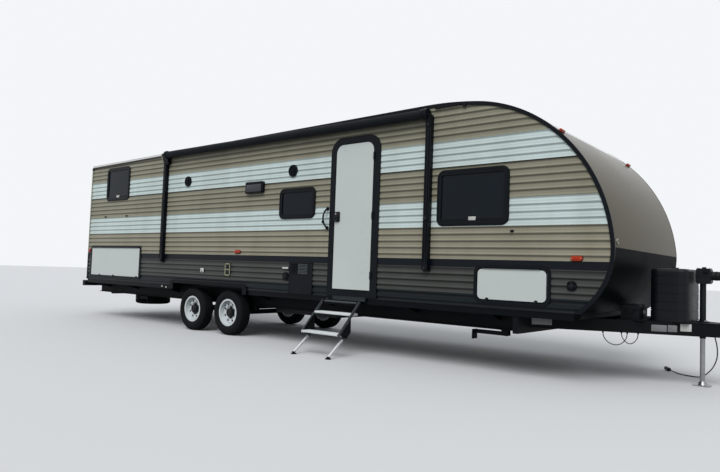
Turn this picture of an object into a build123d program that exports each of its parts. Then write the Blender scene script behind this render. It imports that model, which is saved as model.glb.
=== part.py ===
from build123d import *
import os
from math import acos, asin, atan2, cos, degrees, hypot, pi, radians, sin, sqrt, tan

os.makedirs("parts", exist_ok=True)

# Travel caravan with two axles, millimetres, +X to the hitch, +Z up, door side at -Y.
# Stations are measured from the rear wall; the finished pieces move back by JACK_STATION,
# so that the origin is under the middle of the tongue jack's foot, on the ground.

# Body shell
BODY_WIDTH = 2438.0
SIDING_BOTTOM = 709.0
SIDING = 12.0
WALL = 45.0
FLOOR_THICK = 76.0
ROOF_OVER = 33.0
ROOF_UNDER = 60.0
BODY_LENGTH = 9999.0
ROOF_TOP_Z = 2992.0
ROOF_SLOPE = 0.68
BODY_HEIGHT = ROOF_TOP_Z - SIDING_BOTTOM
FRONT_RADII = (1.8914 * BODY_HEIGHT, 0.7521 * BODY_HEIGHT, 0.3272 * BODY_HEIGHT)
FRONT_TURNS = (8.1, 84.4)
ROOF_END_STATION = BODY_LENGTH - 614.0
FRONT_SEAM_Z = SIDING_BOTTOM + 657.0
HALF = BODY_WIDTH / 2
WALL_OUT = HALF - SIDING
WALL_IN = WALL_OUT - WALL
REAR_IN = SIDING + WALL

# Corrugated siding: ribs of one pitch, counted from the bottom edge of the lower white stripe
RIB_PITCH = 76.0
RIB_DEPTH = 9.0
RIB_CREST = 32.0
RIB_SLOPE = 18.0
STRIPE_Z = 1581.0
BELT_BOTTOM = 1130.0
BELT_TOP = 1217.0

# Chassis
RAIL_Y = 870.0
RAIL_DEPTH = 250.0
RAIL_FLANGE = 80.0
RAIL_WEB = 8.0
RAIL_FLANGE_THICK = 10.0
RAIL_REAR = -50.0
RAIL_FRONT = BODY_LENGTH - 999.0
FRONT_BEAM = 60.0
CROSS_HEIGHT = 80.0
CROSS_WIDTH = 50.0
CROSS_STATIONS = (30.0, 1300.0, 2600.0, 4690.0, 6390.0, 7600.0)
OUTRIGGER_STATIONS = (300.0, 1300.0, 2600.0, 4900.0, 6200.0, 7600.0, BODY_LENGTH - 1299.0)
OUTRIGGER_THICK = 8.0
OUTRIGGER_ROOT = 150.0
OUTRIGGER_TIP = 55.0
SKIRT_THICK = 12.0
SKIRT_DROP = 69.0
BUMPER = 102.0
BUMPER_Z = 573.0
RAIL_TOP = SIDING_BOTTOM
RAIL_BOTTOM = RAIL_TOP - RAIL_DEPTH
CROSS_TOP = RAIL_TOP - RAIL_FLANGE_THICK
SKIRT_OUT = HALF - 14.0
SKIRT_IN = SKIRT_OUT - SKIRT_THICK

# Tongue: two tubes that meet at the coupler, with a deck for the gas bottles and the battery
TONGUE_WIDTH = 50.0
TONGUE_BOTTOM = 515.0
TONGUE_TOP = 645.0
WELD_GAP = 0.2
TONGUE_START = RAIL_FRONT + FRONT_BEAM + WELD_GAP
TONGUE_AHEAD = 901.0
TONGUE_END = BODY_LENGTH + TONGUE_AHEAD
TONGUE_END_Y = 20.0
GUSSET_HALF_WIDTHS = (250.0, 60.0)
DECK_THICK = 6.0
DECK_TOP = TONGUE_TOP + DECK_THICK
COUPLER_LENGTH = 140.0
COUPLER_NOSE = TONGUE_END + COUPLER_LENGTH
COUPLER_WIDTH = 96.0
COUPLER_HEIGHT = 76.0
COUPLER_CAP = 4.0
COUPLER_EDGE = 9.0
LEVER_THICK = 18.0
COUPLER_TOP = TONGUE_TOP
BALL_SOCKET_RADIUS = 30.0
BALL_SOCKET_DEPTH = 46.0

# Tongue jack
JACK_AHEAD = 551.0
JACK_STATION = BODY_LENGTH + JACK_AHEAD
JACK_TUBE_RADIUS = 30.0
JACK_TUBE_BOTTOM = 485.0
JACK_TUBE_TOP = 1048.0
JACK_FLANGE = (62.0, 12.0)
JACK_LEG_RADIUS = 24.0
JACK_LEG_TOP = 960.0
JACK_TRAVEL = 400.0
JACK_FOOT = 160.0
JACK_FOOT_THICK = 10.0
GEARBOX = (-60.0, 82.0, 118.0, 160.0)
MOTOR = (188.0, 84.0, 46.0)
DECK_SLIT = 0.5

# Gas bottle cover and battery box on the tongue
COVER_X = (BODY_LENGTH + 101.0, BODY_LENGTH + 471.0)
COVER_HALF_WIDTH = 305.0
COVER_TOP = 1195.0
COVER_CORNER = 95.0
COVER_EDGE = 38.0
COVER_VALLEY = (258.0, 18.0)
COVER_LIP = (12.0, 14.0)
COVER_GROOVE = (9.0, 5.0)
COVER_GROOVES = (760.0, 850.0, 940.0, 1030.0, 1120.0)
BATTERY_Y = (-385.0, -55.0)
BATTERY_LENGTH = 200.0
BATTERY_HEIGHT = 150.0
BATTERY_GAP = 22.0
BATTERY_LID = 42.0
BATTERY_LIP = 8.0
STRAP = (38.0, 3.0)

# Wheels, axles and springs
AXLE_STATIONS = (3400.0, 4300.0)
TYRE_RADIUS = 344.0
TYRE_WIDTH = 205.0
TYRE_OUTER_FACE = 1180.0
RIM_RADIUS = 190.0
RIM_WIDTH = 152.0
RIM_FLANGE = 17.0
RIM_FLANGE_THICK = 8.0
RIM_HOLES = 8
RIM_HOLE_RADIUS = 21.0
RIM_HOLE_CIRCLE = 131.0
DRUM_RADIUS = 128.0
DRUM_DEPTH = 58.0
SPINDLE_RADIUS = 22.0
BEARING_GAP = 0.4
AXLE_TUBE_RADIUS = 38.0
SPRING_HALF = 330.0
SPRING_WIDTH = 45.0
SPRING_LEAF = 8.0
SPRING_EYE = 16.0
SPRING_PIN = 8.0
HANGER_THICK = 6.0
SPRING_PACK = (1.0, 0.66, 0.36)
CLAMP = (48.0, 38.0, 8.0, 6.0)
SEAT_RISE = 4.0
WHEEL_Y = TYRE_OUTER_FACE - TYRE_WIDTH / 2

# Wheel arch: black trim over the siding, with the floor let in above the tyres
ARCH_X = (2830.0, 4790.0)
ARCH_TOP = 800.0
ARCH_CORNER = 90.0
ARCH_BAND = 95.0
ARCH_OPEN_TOP = 745.0
ARCH_TRIM_THICK = 12.0
WELL_INNER_Y = 935.0
WELL_TOP = 752.0
LINER = 3.0

# Spare wheel, flat under the rear of the chassis
SPARE_STATION = 430.0
SPARE_BAR = (60.0, 24.0)

# Windows: side, x0, x1, z0, z1 of the frame's outer edge. The door's surroundings keep their place beside it.
DOOR_START = BODY_LENGTH / 2 + 1470.5
WINDOWS = (
    (-1, 600.0, 1400.0, ROOF_TOP_Z - 785.0, ROOF_TOP_Z - 162.0),
    (-1, DOOR_START - 1050.0, DOOR_START - 352.0, 1745.0, 2170.0),
    (-1, BODY_LENGTH - 1951.0, BODY_LENGTH - 1059.0, 1600.0, 2235.0),
    (1, 600.0, 1400.0, ROOF_TOP_Z - 785.0, ROOF_TOP_Z - 162.0),
    (1, 4200.0, 5700.0, 1600.0, 2235.0),
    (1, BODY_LENGTH - 1951.0, BODY_LENGTH - 1059.0, 1600.0, 2235.0),
)
WINDOW_FLANGE = 46.0
WINDOW_CORNER = 85.0
WINDOW_PROUD = 14.0
WINDOW_SLEEVE = 10.0
WINDOW_EDGE = 4.0
GLASS_THICK = 8.0
GLASS_SET = 10.0

# Entry door, hinged at its front edge
DOOR_X = (DOOR_START, DOOR_START + 645.0)
DOOR_Z = (800.0, ROOF_TOP_Z - 292.0)
DOOR_CORNER = 120.0
DOOR_FOOT_CORNER = 16.0
DOOR_THICK = 45.0
DOOR_PROUD = 9.0
DOOR_GAP = 5.0
DOOR_FLANGE = (80.0, 95.0, 80.0, 80.0)
DOOR_JAMB = 14.0
DOOR_FRAME_CORNER = 190.0
LEAF_ON = 14.0
LOCK_PLATE = (14.0, 96.0, 1688.0, 1806.0, 9.0)
LOCK_GRIP = (26.0, 84.0, 1722.0, 1752.0, 34.0)
FRAME_PROUD = 12.0
HINGE_RADIUS = 6.0
HINGE_GAP = 0.3
HINGE_OUT = FRAME_PROUD + HINGE_RADIUS + HINGE_GAP
DOOR_HINGES = (DOOR_Z[0] + 200.0, (DOOR_Z[0] + DOOR_Z[1]) / 2, DOOR_Z[1] - 200.0)

# Baggage doors, hinged at their top edge: name, side, x0, x1, z0, z1 of the panel, corner radius
BAGGAGE = (
    ("rear", -1, 166.0, 1870.0, 788.0, 1323.0, 22.0),
    ("front", -1, BODY_LENGTH - 1416.0, BODY_LENGTH - 617.0, 790.0, 1137.0, 62.0),
    ("off_side", 1, BODY_LENGTH - 1416.0, BODY_LENGTH - 617.0, 790.0, 1137.0, 62.0),
)
BAGGAGE_FLANGE = 34.0
BAGGAGE_THICK = 38.0
BAGGAGE_GAP = 4.0
BAGGAGE_JAMB = 10.0
STRIP_ON = 12.0
STRIP_THICK = 3.0

# Awning, rolled up
AWNING_X = (2690.0, BODY_LENGTH - 2099.0)
AWNING_RADIUS = 58.0
AWNING_OUT = 78.0
AWNING_Z = ROOF_TOP_Z - 87.0
ARM_STATIONS = (2600.0, BODY_LENGTH - 2064.0)
ARM_WIDTH = 74.0
ARM_DEPTH = 60.0
ARM_BOTTOM = 1092.0
ARM_GROOVE = (8.0, 6.0, 15.0)
ARM_FOOT = (100.0, 90.0, 6.0)
END_CAP = (66.0, 40.0)

# Entry steps, let down in front of the door
STEP_PIVOT_OUT = 43.0
STEP_PIVOT_Z = 650.0
STEP_PIVOT_RADIUS = 12.0
STEP_X = (DOOR_START - 108.0, DOOR_START + 505.0)
STEP_ANGLE = 46.0
STEP_LENGTH = 542.0
STEP_BAR = (12.0, 38.0)
TREADS = (195.0, 521.0)
TREAD_DEPTH = 150.0
TREAD_NOSE = 25.0
TREAD_THICK = 27.0
STEP_LEG = 26.0
STEP_LEG_SLOPE = 38.0
STEP_LEG_BELOW = 120.0
STEP_LEG_START = 118.0
STEP_FOOT = (27.0, 26.0, 16.0)
SILL_X = (DOOR_START + 37.0, DOOR_START + 580.0)
SILL_Z = (668.0, 719.0)
SILL_THICK = 16.0

# Roof equipment
VENTS = (("rear", 2300.0), ("front", 6300.0))
VENT_SIZE = 400.0
VENT_WALL = 20.0
VENT_UP = 55.0
VENT_LID_THICK = 32.0
VENT_LID_OVER = 15.0
VENT_LID_CORNER = 30.0
VENT_LID_EDGE = 12.0
VENT_LID_WALL = 8.0
VENT_GAP = 0.5
VENT_PIN = (5.0, 240.0)
COOLER_STATION = 4800.0
COOLER_FOOT = (1000.0, 700.0, 70.0, 26.0)
COOLER_CROWN = (720.0, 540.0, 110.0)
COOLER_AHEAD = -30.0
COOLER_HEIGHT = 300.0
COOLER_EDGE = 34.0

# Stabiliser legs: name, station of the pivot, side, direction in which the stowed leg points
STABILISERS = (
    ("rear_door_side", 1250.0, -1, 1),
    ("rear_off_side", 1250.0, 1, 1),
    ("front_door_side", BODY_LENGTH - 1249.0, -1, -1),
    ("front_off_side", BODY_LENGTH - 1249.0, 1, -1),
)
STABILISER_LENGTH = 385.0
STABILISER_TUBE = 44.0
STABILISER_FOOT = 110.0
STABILISER_DROP = 46.0
STABILISER_Y = RAIL_Y - RAIL_FLANGE / 2

# Tanks under the floor
TANK_X = (4960.0, 6160.0)
TANK_GAP = 50.0
TANK_HALF_WIDTH = RAIL_Y - RAIL_FLANGE / 2 - TANK_GAP
TANK_BOTTOM = 385.0
DRAIN_RADIUS = 41.0


# Lamps: rows of y, and side markers as station, z, length, height
LAMP_TURN = 42.1
LAMP_SIZE = (104.0, 30.0, 16.0)
LAMP_IN = 79.0
FRONT_LAMPS = (LAMP_IN - HALF, HALF - LAMP_IN)
REAR_LAMPS = (LAMP_IN - HALF, -160.0, 0.0, 160.0, HALF - LAMP_IN)
SIDE_MARKERS = ((4550.0, 1278.0, 140.0, 32.0), (BODY_LENGTH - 327.0, 1248.0, 118.0, 40.0))
TAIL_LAMP = (HALF - 129.0, 1270.0, 190.0, 160.0)

# Fittings on the sides: side, station, z, length, height, how far they stand out, corner radius
FITTINGS = (
    (-1, 3210.0, 2425.0, 170.0, 170.0, 14.0, 84.9),
    (-1, DOOR_START - 800.0, 2418.0, 170.0, 170.0, 14.0, 84.9),
    (-1, DOOR_START - 1570.0, 2223.0, 380.0, 167.0, 42.0, 18.0),
    (-1, DOOR_START - 200.0, 1690.0, 40.0, 40.0, 8.0, 19.9),
    (-1, 3700.0, 975.0, 90.0, 70.0, 8.0, 6.0),
    (-1, 4335.0, 1002.0, 130.0, 195.0, 12.0, 8.0),
    (-1, DOOR_START - 870.0, 1057.0, 120.0, 26.0, 14.0, 5.0),
    (-1, DOOR_START - 865.0, 945.0, 112.0, 112.0, 16.0, 55.9),
    (-1, DOOR_START - 575.0, 928.0, 440.0, 430.0, 10.0, 12.0),
    (-1, BODY_LENGTH - 372.0, 982.0, 100.0, 100.0, 12.0, 49.9),
    (1, 2300.0, 960.0, 420.0, 420.0, 12.0, 14.0),
    (1, 5000.0, 1010.0, 300.0, 180.0, 12.0, 10.0),
    (1, 6500.0, 960.0, 150.0, 150.0, 22.0, 74.9),
    (1, 6900.0, 960.0, 130.0, 130.0, 16.0, 14.0),
)
GRAB_HANDLE = (DOOR_START - 118.0, 1606.0, 1860.0)
MOULDING_BAND = (35.0, 6.0, 10.0)
MOULDING_REAR = 2400.0
CORNER_MOULDING = (26.0, 5.0)

# Cables: chosen points of their routes, in the part's own frame
PLUG_CABLE_RADIUS = 6.0
PLUG_CABLE = (
    (88.0, 45.0, 645.0), (88.0, 45.0, 575.0), (100.0, 57.0, 505.0), (116.0, 78.0, 430.0),
    (118.0, 108.0, 355.0), (108.0, 150.0, 280.0), (78.0, 202.0, 205.0), (34.0, 272.0, 138.0),
    (-20.0, 358.0, 82.0), (-74.0, 452.0, 36.0), (-136.0, 530.0, 10.0), (-206.0, 568.0, 6.5),
    (-278.0, 592.0, 6.5), (-350.0, 640.0, 7.0), (-418.0, 704.0, 12.0), (-476.0, 774.0, 20.0),
)
PLUG_RADIUS = 22.0
PLUG_LENGTH = 78.0
LOOP_RADIUS = 4.5
GLAND_WALL = 4.0
GLAND_LENGTH = 14.0
LOOPS = (
    ((-826.0, -573.0, 515.0), (-826.0, -573.0, 476.0), (-804.0, -563.0, 432.0), (-766.0, -546.0, 394.0),
     (-712.0, -521.0, 378.0), (-660.0, -497.0, 394.0), (-628.0, -482.0, 434.0), (-611.0, -475.0, 478.0),
     (-611.0, -475.0, 515.0)),
    ((-667.0, -479.0, 515.0), (-667.0, -479.0, 476.0), (-644.0, -468.0, 430.0), (-606.0, -450.0, 396.0),
     (-566.0, -432.0, 404.0), (-536.0, -418.0, 440.0), (-521.0, -412.0, 480.0), (-521.0, -412.0, 515.0)),
)


def block(x0, x1, y0, y1, z0, z1):
    return Pos((x0 + x1) / 2, (y0 + y1) / 2, (z0 + z1) / 2) * Box(x1 - x0, y1 - y0, z1 - z0)


def slab(face, y0, y1):
    """A shape drawn in X and Z, made solid from y0 to y1."""
    return Pos(0, y1, 0) * extrude(Plane.XZ * face, y1 - y0)


def bar(face, x0, x1):
    """A shape drawn in Y and Z, made solid from x0 to x1."""
    return Pos(x0, 0, 0) * extrude(Plane.YZ * face, x1 - x0)


def plate(face, z0, z1):
    """A shape drawn in X and Y, made solid from z0 to z1."""
    return Pos(0, 0, z0) * extrude(face, z1 - z0)


def rounded(x0, x1, z0, z1, radius):
    return Pos((x0 + x1) / 2, (z0 + z1) / 2) * RectangleRounded(x1 - x0, z1 - z0, radius)


def rectangle(x0, x1, z0, z1):
    return Pos((x0 + x1) / 2, (z0 + z1) / 2) * Rectangle(x1 - x0, z1 - z0)


def polygon(*points):
    return make_face(Polyline(*points, close=True))


def side_slab(face, side, inner, outer):
    """Like slab, between two distances from the centreline on one side of the body."""
    return slab(face, min(side * inner, side * outer), max(side * inner, side * outer))


def rod(x, y, z, radius, length, direction):
    """A round bar that starts at a point and runs along a direction."""
    return extrude(Plane(origin=(x, y, z), z_dir=direction) * Circle(radius), length)


def on_arc(centre, radius, turn):
    return (centre[0] + radius * sin(radians(turn)), centre[1] + radius * cos(radians(turn)))


def front_arcs(inset=0.0, bottom=SIDING_BOTTOM):
    """Centre, radius and first and last turn of the three tangent arcs, from the roof to the bottom."""
    r1, r2, r3 = FRONT_RADII
    t1, t2 = FRONT_TURNS
    c3x = BODY_LENGTH - r3
    c2x = c3x - (r2 - r3) * sin(radians(t2))
    c1 = (c2x - (r1 - r2) * sin(radians(t1)), ROOF_TOP_Z - r1)
    c2 = (c2x, c1[1] + (r1 - r2) * cos(radians(t1)))
    c3 = (c3x, c2[1] + (r2 - r3) * cos(radians(t2)))
    t3 = degrees(acos((bottom - c3[1]) / (r3 - inset)))
    return ((c1, r1 - inset, -ROOF_SLOPE, t1), (c2, r2 - inset, t1, t2), (c3, r3 - inset, t2, t3))


def outline(inset=0.0, bottom=SIDING_BOTTOM):
    """The body's side view: flat bottom, plumb rear, sloping roof and three tangent front arcs."""
    arcs = front_arcs(inset, bottom)
    first = on_arc(*arcs[0][:3])
    last = on_arc(*arcs[2][:2], arcs[2][3])
    back = (0.0, first[1] - first[0] * tan(radians(ROOF_SLOPE)))
    curves = []
    for centre, radius, start, end in arcs:
        curves.append(ThreePointArc(*(on_arc(centre, radius, turn) for turn in (start, (start + end) / 2, end))))
    lines = [Line((0, bottom), back), Line(back, first), *curves, Line(last, (0, bottom))]
    return make_face(Curve() + lines)


def roof_z(station, inset=0.0):
    """Height of the straight part of the roof line."""
    first = on_arc(*front_arcs(inset)[0][:3])
    return first[1] - (first[0] - station) * tan(radians(ROOF_SLOPE))


def front_station(z, inset=0.0):
    """Where the lowest front arc stands at a height."""
    centre, radius = front_arcs(inset)[2][:2]
    return centre[0] + sqrt(radius ** 2 - (z - centre[1]) ** 2)


# Where the body ends: at the bottom edge, and past everything ahead and above for cutting shapes
FLOOR_FRONT = front_station(SIDING_BOTTOM)
AHEAD = BODY_LENGTH + 300.0
ABOVE = ROOF_TOP_Z + 300.0
ROOF_ZONE = ROOF_TOP_Z - 800.0
ROOF_TOP_STATION = front_arcs()[0][0][0]

made = {}


def save(name, shape, moved=True):
    """Write one sub-part in the part's own frame."""
    if moved:
        shape = Pos(-JACK_STATION, 0, 0) * shape
    made[name] = shape
    export_step(shape, "parts/" + name + ".step")


def rib_section():
    """Depth and height of the corrugated sheet's face: flat crests, sloping flanks and narrow grooves."""
    points = [(SIDING, SIDING_BOTTOM), (0, SIDING_BOTTOM)]
    starts = []
    z = BELT_BOTTOM
    while z > SIDING_BOTTOM + RIB_PITCH:
        z -= RIB_PITCH
        starts.append(z)
    starts.reverse()
    z = STRIPE_Z
    above = []
    while z - RIB_PITCH > BELT_TOP:
        z -= RIB_PITCH
        above.append(z)
    above.reverse()
    while above[-1] < ROOF_TOP_Z:
        above.append(above[-1] + RIB_PITCH)
    groove = RIB_PITCH - RIB_CREST - 2 * RIB_SLOPE
    for z in starts + above:
        points += [
            (0, z - groove - 3 * RIB_SLOPE / 2),
            (RIB_DEPTH, z - groove - RIB_SLOPE / 2),
            (RIB_DEPTH, z - RIB_SLOPE / 2),
            (0, z + RIB_SLOPE / 2),
        ]
    return points + [(0, ROOF_TOP_Z + RIB_PITCH), (SIDING, ROOF_TOP_Z + RIB_PITCH)]


def doorway(x0, x1, z0, z1, corner, foot_corner):
    """An upright panel with wide corners at the top and small ones at the bottom."""
    return rounded(x0, x1, z0, z1, corner) + rounded(x0, x1, z0, z1 - 2 * corner, foot_corner)


def side_openings(side, grow=0.0):
    """The holes in one side: windows, baggage doors and the entry door."""
    holes = []
    for where, x0, x1, z0, z1 in WINDOWS:
        if where == side:
            f = WINDOW_FLANGE - grow
            holes.append(rounded(x0 + f, x1 - f, z0 + f, z1 - f, WINDOW_CORNER - WINDOW_FLANGE + grow))
    for name, where, x0, x1, z0, z1, corner in BAGGAGE:
        if where == side:
            j = BAGGAGE_JAMB + grow
            holes.append(rounded(x0 - j, x1 + j, z0 - j, z1 + j, corner + j))
    if side < 0:
        j = DOOR_JAMB + grow
        holes.append(doorway(DOOR_X[0] - j, DOOR_X[1] + j, DOOR_Z[0] - j, DOOR_Z[1] + j, DOOR_CORNER + j,
                             DOOR_FOOT_CORNER + j))
    return holes


# Walls: a flat framed panel on each side, with its windows, hatches and the doorway cut through
arch_hole = rectangle(ARCH_X[0] + ARCH_BAND, ARCH_X[1] - ARCH_BAND, 0, WELL_TOP)
for side, name in ((-1, "door_side"), (1, "off_side")):
    shape = side_slab(outline(), side, WALL_IN, WALL_OUT)
    shape -= block(0, SIDING, -HALF, HALF, 0, ROOF_TOP_Z)
    for hole in side_openings(side) + [arch_hole]:
        shape -= side_slab(hole, side, WALL_IN - 1, WALL_OUT + 1)
    save("wall_" + name, shape)
    ribs = polygon(*[(side * (HALF - depth), z) for depth, z in rib_section()])
    skin = side_slab(outline(), side, WALL_OUT, HALF) & bar(ribs, SIDING, AHEAD)
    arch_skin = rectangle(ARCH_X[0] + ARCH_BAND, ARCH_X[1] - ARCH_BAND, 0, ARCH_OPEN_TOP)
    for hole in side_openings(side) + [arch_skin]:
        skin -= side_slab(hole, side, WALL_OUT - 1, HALF + 1)
    save("siding_" + name, skin)

# Rear wall: framed panel between the side walls under a full-width corrugated sheet
rear = block(SIDING, REAR_IN, -WALL_IN, WALL_IN, SIDING_BOTTOM, ROOF_TOP_Z)
rear += slab(polygon(*rib_section()), -HALF, HALF)
save("rear_wall", rear & slab(outline(), -HALF, HALF))

# Floor between the walls, let in above the tyres
floor = slab(outline(WALL), -WALL_IN, WALL_IN)
floor &= block(REAR_IN, AHEAD, -HALF, HALF, SIDING_BOTTOM, SIDING_BOTTOM + FLOOR_THICK)
for side in (-1, 1):
    floor -= side_slab(rectangle(ARCH_X[0] + ARCH_BAND, ARCH_X[1] - ARCH_BAND, 0, WELL_TOP), side, WELL_INNER_Y, HALF)
save("floor", floor)

# Roof over the walls, bent down to the top of the front panel
roof = slab(outline(-ROOF_OVER) - outline(0), -HALF, HALF)
inner_roof = slab(outline(0) - outline(ROOF_UNDER), -WALL_IN, WALL_IN)
roof += inner_roof & block(REAR_IN, AHEAD, -HALF, HALF, 0, ABOVE)
roof &= block(0, ROOF_END_STATION, -HALF, HALF, ROOF_ZONE, ABOVE)
for name, station in VENTS:
    opening = VENT_SIZE - 2 * VENT_WALL
    top = roof_z(station, -ROOF_OVER)
    upstand = block(station - VENT_SIZE / 2, station + VENT_SIZE / 2, -VENT_SIZE / 2, VENT_SIZE / 2,
                    top - ROOF_OVER, top + VENT_UP)
    roof += upstand
    roof -= block(station - opening / 2, station + opening / 2, -opening / 2, opening / 2, ROOF_ZONE, ABOVE)
save("roof", roof)

# Front: bronze panel above, black panel below, each as thick as the wall behind it
front = slab(outline(-ROOF_OVER) - outline(0), -HALF, HALF)
front += slab(outline(0) - outline(WALL), -WALL_IN, WALL_IN)
front &= block(ROOF_TOP_STATION, AHEAD, -HALF, HALF, SIDING_BOTTOM, ABOVE)
save("front_panel_upper", front & block(ROOF_END_STATION, AHEAD, -HALF, HALF, FRONT_SEAM_Z, ABOVE))
save("front_panel_lower", front & block(ROOF_TOP_STATION, AHEAD, -HALF, HALF, SIDING_BOTTOM, FRONT_SEAM_Z))

# Edge mouldings: a black band along the roof and round the front curve, and one up each rear corner
over, under, thick = MOULDING_BAND
moulding = outline(-over) - outline(under)
moulding &= rectangle(MOULDING_REAR, AHEAD, SIDING_BOTTOM, ABOVE)
corner_wide, corner_thick = CORNER_MOULDING
mouldings = []
for side in (-1, 1):
    mouldings.append(side_slab(moulding, side, HALF, HALF + thick))
    leg = side_slab(rectangle(-corner_thick, corner_wide, SIDING_BOTTOM, roof_z(0) - under), side, HALF, HALF + corner_thick)
    leg += side_slab(rectangle(-corner_thick, 0, SIDING_BOTTOM, roof_z(0) - under), side, HALF - corner_wide, HALF)
    mouldings.append(leg)
save("edge_mouldings", Compound(children=mouldings))

# Chassis rails: two I-beams with spring hangers welded below and the square bumper tube behind
i_beam = rectangle(-RAIL_WEB / 2, RAIL_WEB / 2, RAIL_BOTTOM, RAIL_TOP)
i_beam += rectangle(-RAIL_FLANGE / 2, RAIL_FLANGE / 2, RAIL_TOP - RAIL_FLANGE_THICK, RAIL_TOP)
i_beam += rectangle(-RAIL_FLANGE / 2, RAIL_FLANGE / 2, RAIL_BOTTOM, RAIL_BOTTOM + RAIL_FLANGE_THICK)
rails = block(RAIL_REAR - BUMPER, RAIL_REAR, -HALF, HALF, BUMPER_Z, BUMPER_Z + BUMPER)
hanger_stations = (
    AXLE_STATIONS[0] - SPRING_HALF,
    (AXLE_STATIONS[0] + AXLE_STATIONS[1]) / 2,
    AXLE_STATIONS[1] + SPRING_HALF,
)
EYE_Z = RAIL_BOTTOM - 40
for side in (-1, 1):
    rails += Pos(0, side * RAIL_Y, 0) * bar(i_beam, RAIL_REAR, RAIL_FRONT)
    for station in hanger_stations:
        for face in (-1, 1):
            y = side * RAIL_Y + face * (SPRING_WIDTH / 2 + 1 + HANGER_THICK / 2)
            cheek = polygon((station - 45, RAIL_BOTTOM), (station + 45, RAIL_BOTTOM),
                            (station + 20, EYE_Z - 20), (station - 20, EYE_Z - 20))
            rails += slab(cheek, y - HANGER_THICK / 2, y + HANGER_THICK / 2)
        rails += rod(station, side * RAIL_Y - SPRING_WIDTH / 2 - 2, EYE_Z, SPRING_PIN, SPRING_WIDTH + 4, (0, 1, 0))
save("chassis_rails", rails)

# Crossmembers between the rails, outriggers beyond them, the front beam and the spare carrier
cross = []
for station in CROSS_STATIONS:
    y = RAIL_Y - RAIL_WEB / 2
    cross.append(block(station - CROSS_WIDTH / 2, station + CROSS_WIDTH / 2, -y, y,
                       CROSS_TOP - CROSS_HEIGHT, CROSS_TOP))
for station in OUTRIGGER_STATIONS:
    y = RAIL_Y + RAIL_WEB / 2
    edge = RAIL_Y + RAIL_FLANGE / 2
    corners = ((y, CROSS_TOP), (edge, CROSS_TOP), (edge, RAIL_TOP), (SKIRT_IN, RAIL_TOP),
               (SKIRT_IN, RAIL_TOP - OUTRIGGER_TIP), (y, RAIL_TOP - OUTRIGGER_ROOT))
    for side in (-1, 1):
        arm = polygon(*[(side * along_y, z) for along_y, z in corners])
        cross.append(bar(arm, station - OUTRIGGER_THICK / 2, station + OUTRIGGER_THICK / 2))
cross.append(block(RAIL_FRONT, RAIL_FRONT + FRONT_BEAM, -SKIRT_IN, SKIRT_IN, RAIL_BOTTOM, RAIL_TOP))
carrier = block(SPARE_STATION - SPARE_BAR[0] / 2, SPARE_STATION + SPARE_BAR[0] / 2,
                -RAIL_Y - RAIL_FLANGE / 2, RAIL_Y + RAIL_FLANGE / 2, RAIL_BOTTOM - SPARE_BAR[1], RAIL_BOTTOM)
carrier += rod(SPARE_STATION, 0, RAIL_BOTTOM - SPARE_BAR[1], 10, 150, (0, 0, -1))
cross.append(carrier)

# Step mount: a plate on the skirt under the doorway with two cheeks that hold the steps' pivot
pivot_y = HALF + STEP_PIVOT_OUT
mount_out = HALF + WELD_GAP
mount = block(SILL_X[0], SILL_X[1], -HALF - SILL_THICK, -mount_out, *SILL_Z)
mount += block(STEP_X[0] + 14, STEP_X[1] - 14, -mount_out, -SKIRT_OUT, STEP_PIVOT_Z - 40, STEP_PIVOT_Z + 40)
for x in (STEP_X[0] + 22, STEP_X[1] - 22):
    cheek = rounded(-pivot_y - 22, -mount_out + 20, STEP_PIVOT_Z - 24, STEP_PIVOT_Z + 24, 16)
    mount += bar(cheek & rectangle(-pivot_y - 22, -mount_out, 0, ROOF_TOP_Z), x - 6, x + 6)
mount -= rod(STEP_X[0] - 50, -pivot_y, STEP_PIVOT_Z, STEP_PIVOT_RADIUS + BEARING_GAP, 800, (1, 0, 0))
cross.append(mount)
save("chassis_crossmembers", Compound(children=cross))

# Skirt: black edge rail under each side, with the wheel arch trim fused to it and the well's liner
for_skirt = []
for side in (-1, 1):
    edge = rectangle(SIDING, FLOOR_FRONT, RAIL_TOP - SKIRT_DROP, RAIL_TOP)
    edge -= rectangle(ARCH_X[0] + ARCH_BAND, ARCH_X[1] - ARCH_BAND, 0, ARCH_TOP)
    piece = side_slab(edge, side, SKIRT_IN, SKIRT_OUT)
    arch = rounded(ARCH_X[0], ARCH_X[1], RAIL_TOP - SKIRT_DROP - ARCH_CORNER, ARCH_TOP, ARCH_CORNER)
    arch &= rectangle(0, BODY_LENGTH, RAIL_TOP - SKIRT_DROP, ARCH_TOP)
    arch -= rectangle(ARCH_X[0] + ARCH_BAND, ARCH_X[1] - ARCH_BAND, 0, ARCH_OPEN_TOP)
    piece += side_slab(arch, side, HALF, HALF + ARCH_TRIM_THICK)
    piece += side_slab(arch & rectangle(0, BODY_LENGTH, 0, RAIL_TOP), side, SKIRT_OUT, HALF)
    for_skirt.append(piece)
    x0, x1 = ARCH_X[0] + ARCH_BAND, ARCH_X[1] - ARCH_BAND
    liner = side_slab(rectangle(x0, x1, RAIL_TOP, WELL_TOP), side, WELL_INNER_Y, WALL_OUT)
    liner -= side_slab(rectangle(x0 + LINER, x1 - LINER, 0, WELL_TOP - LINER), side, WELL_INNER_Y + LINER, HALF)
    for_skirt.append(liner)
save("skirt_rails", Compound(children=for_skirt))

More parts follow.
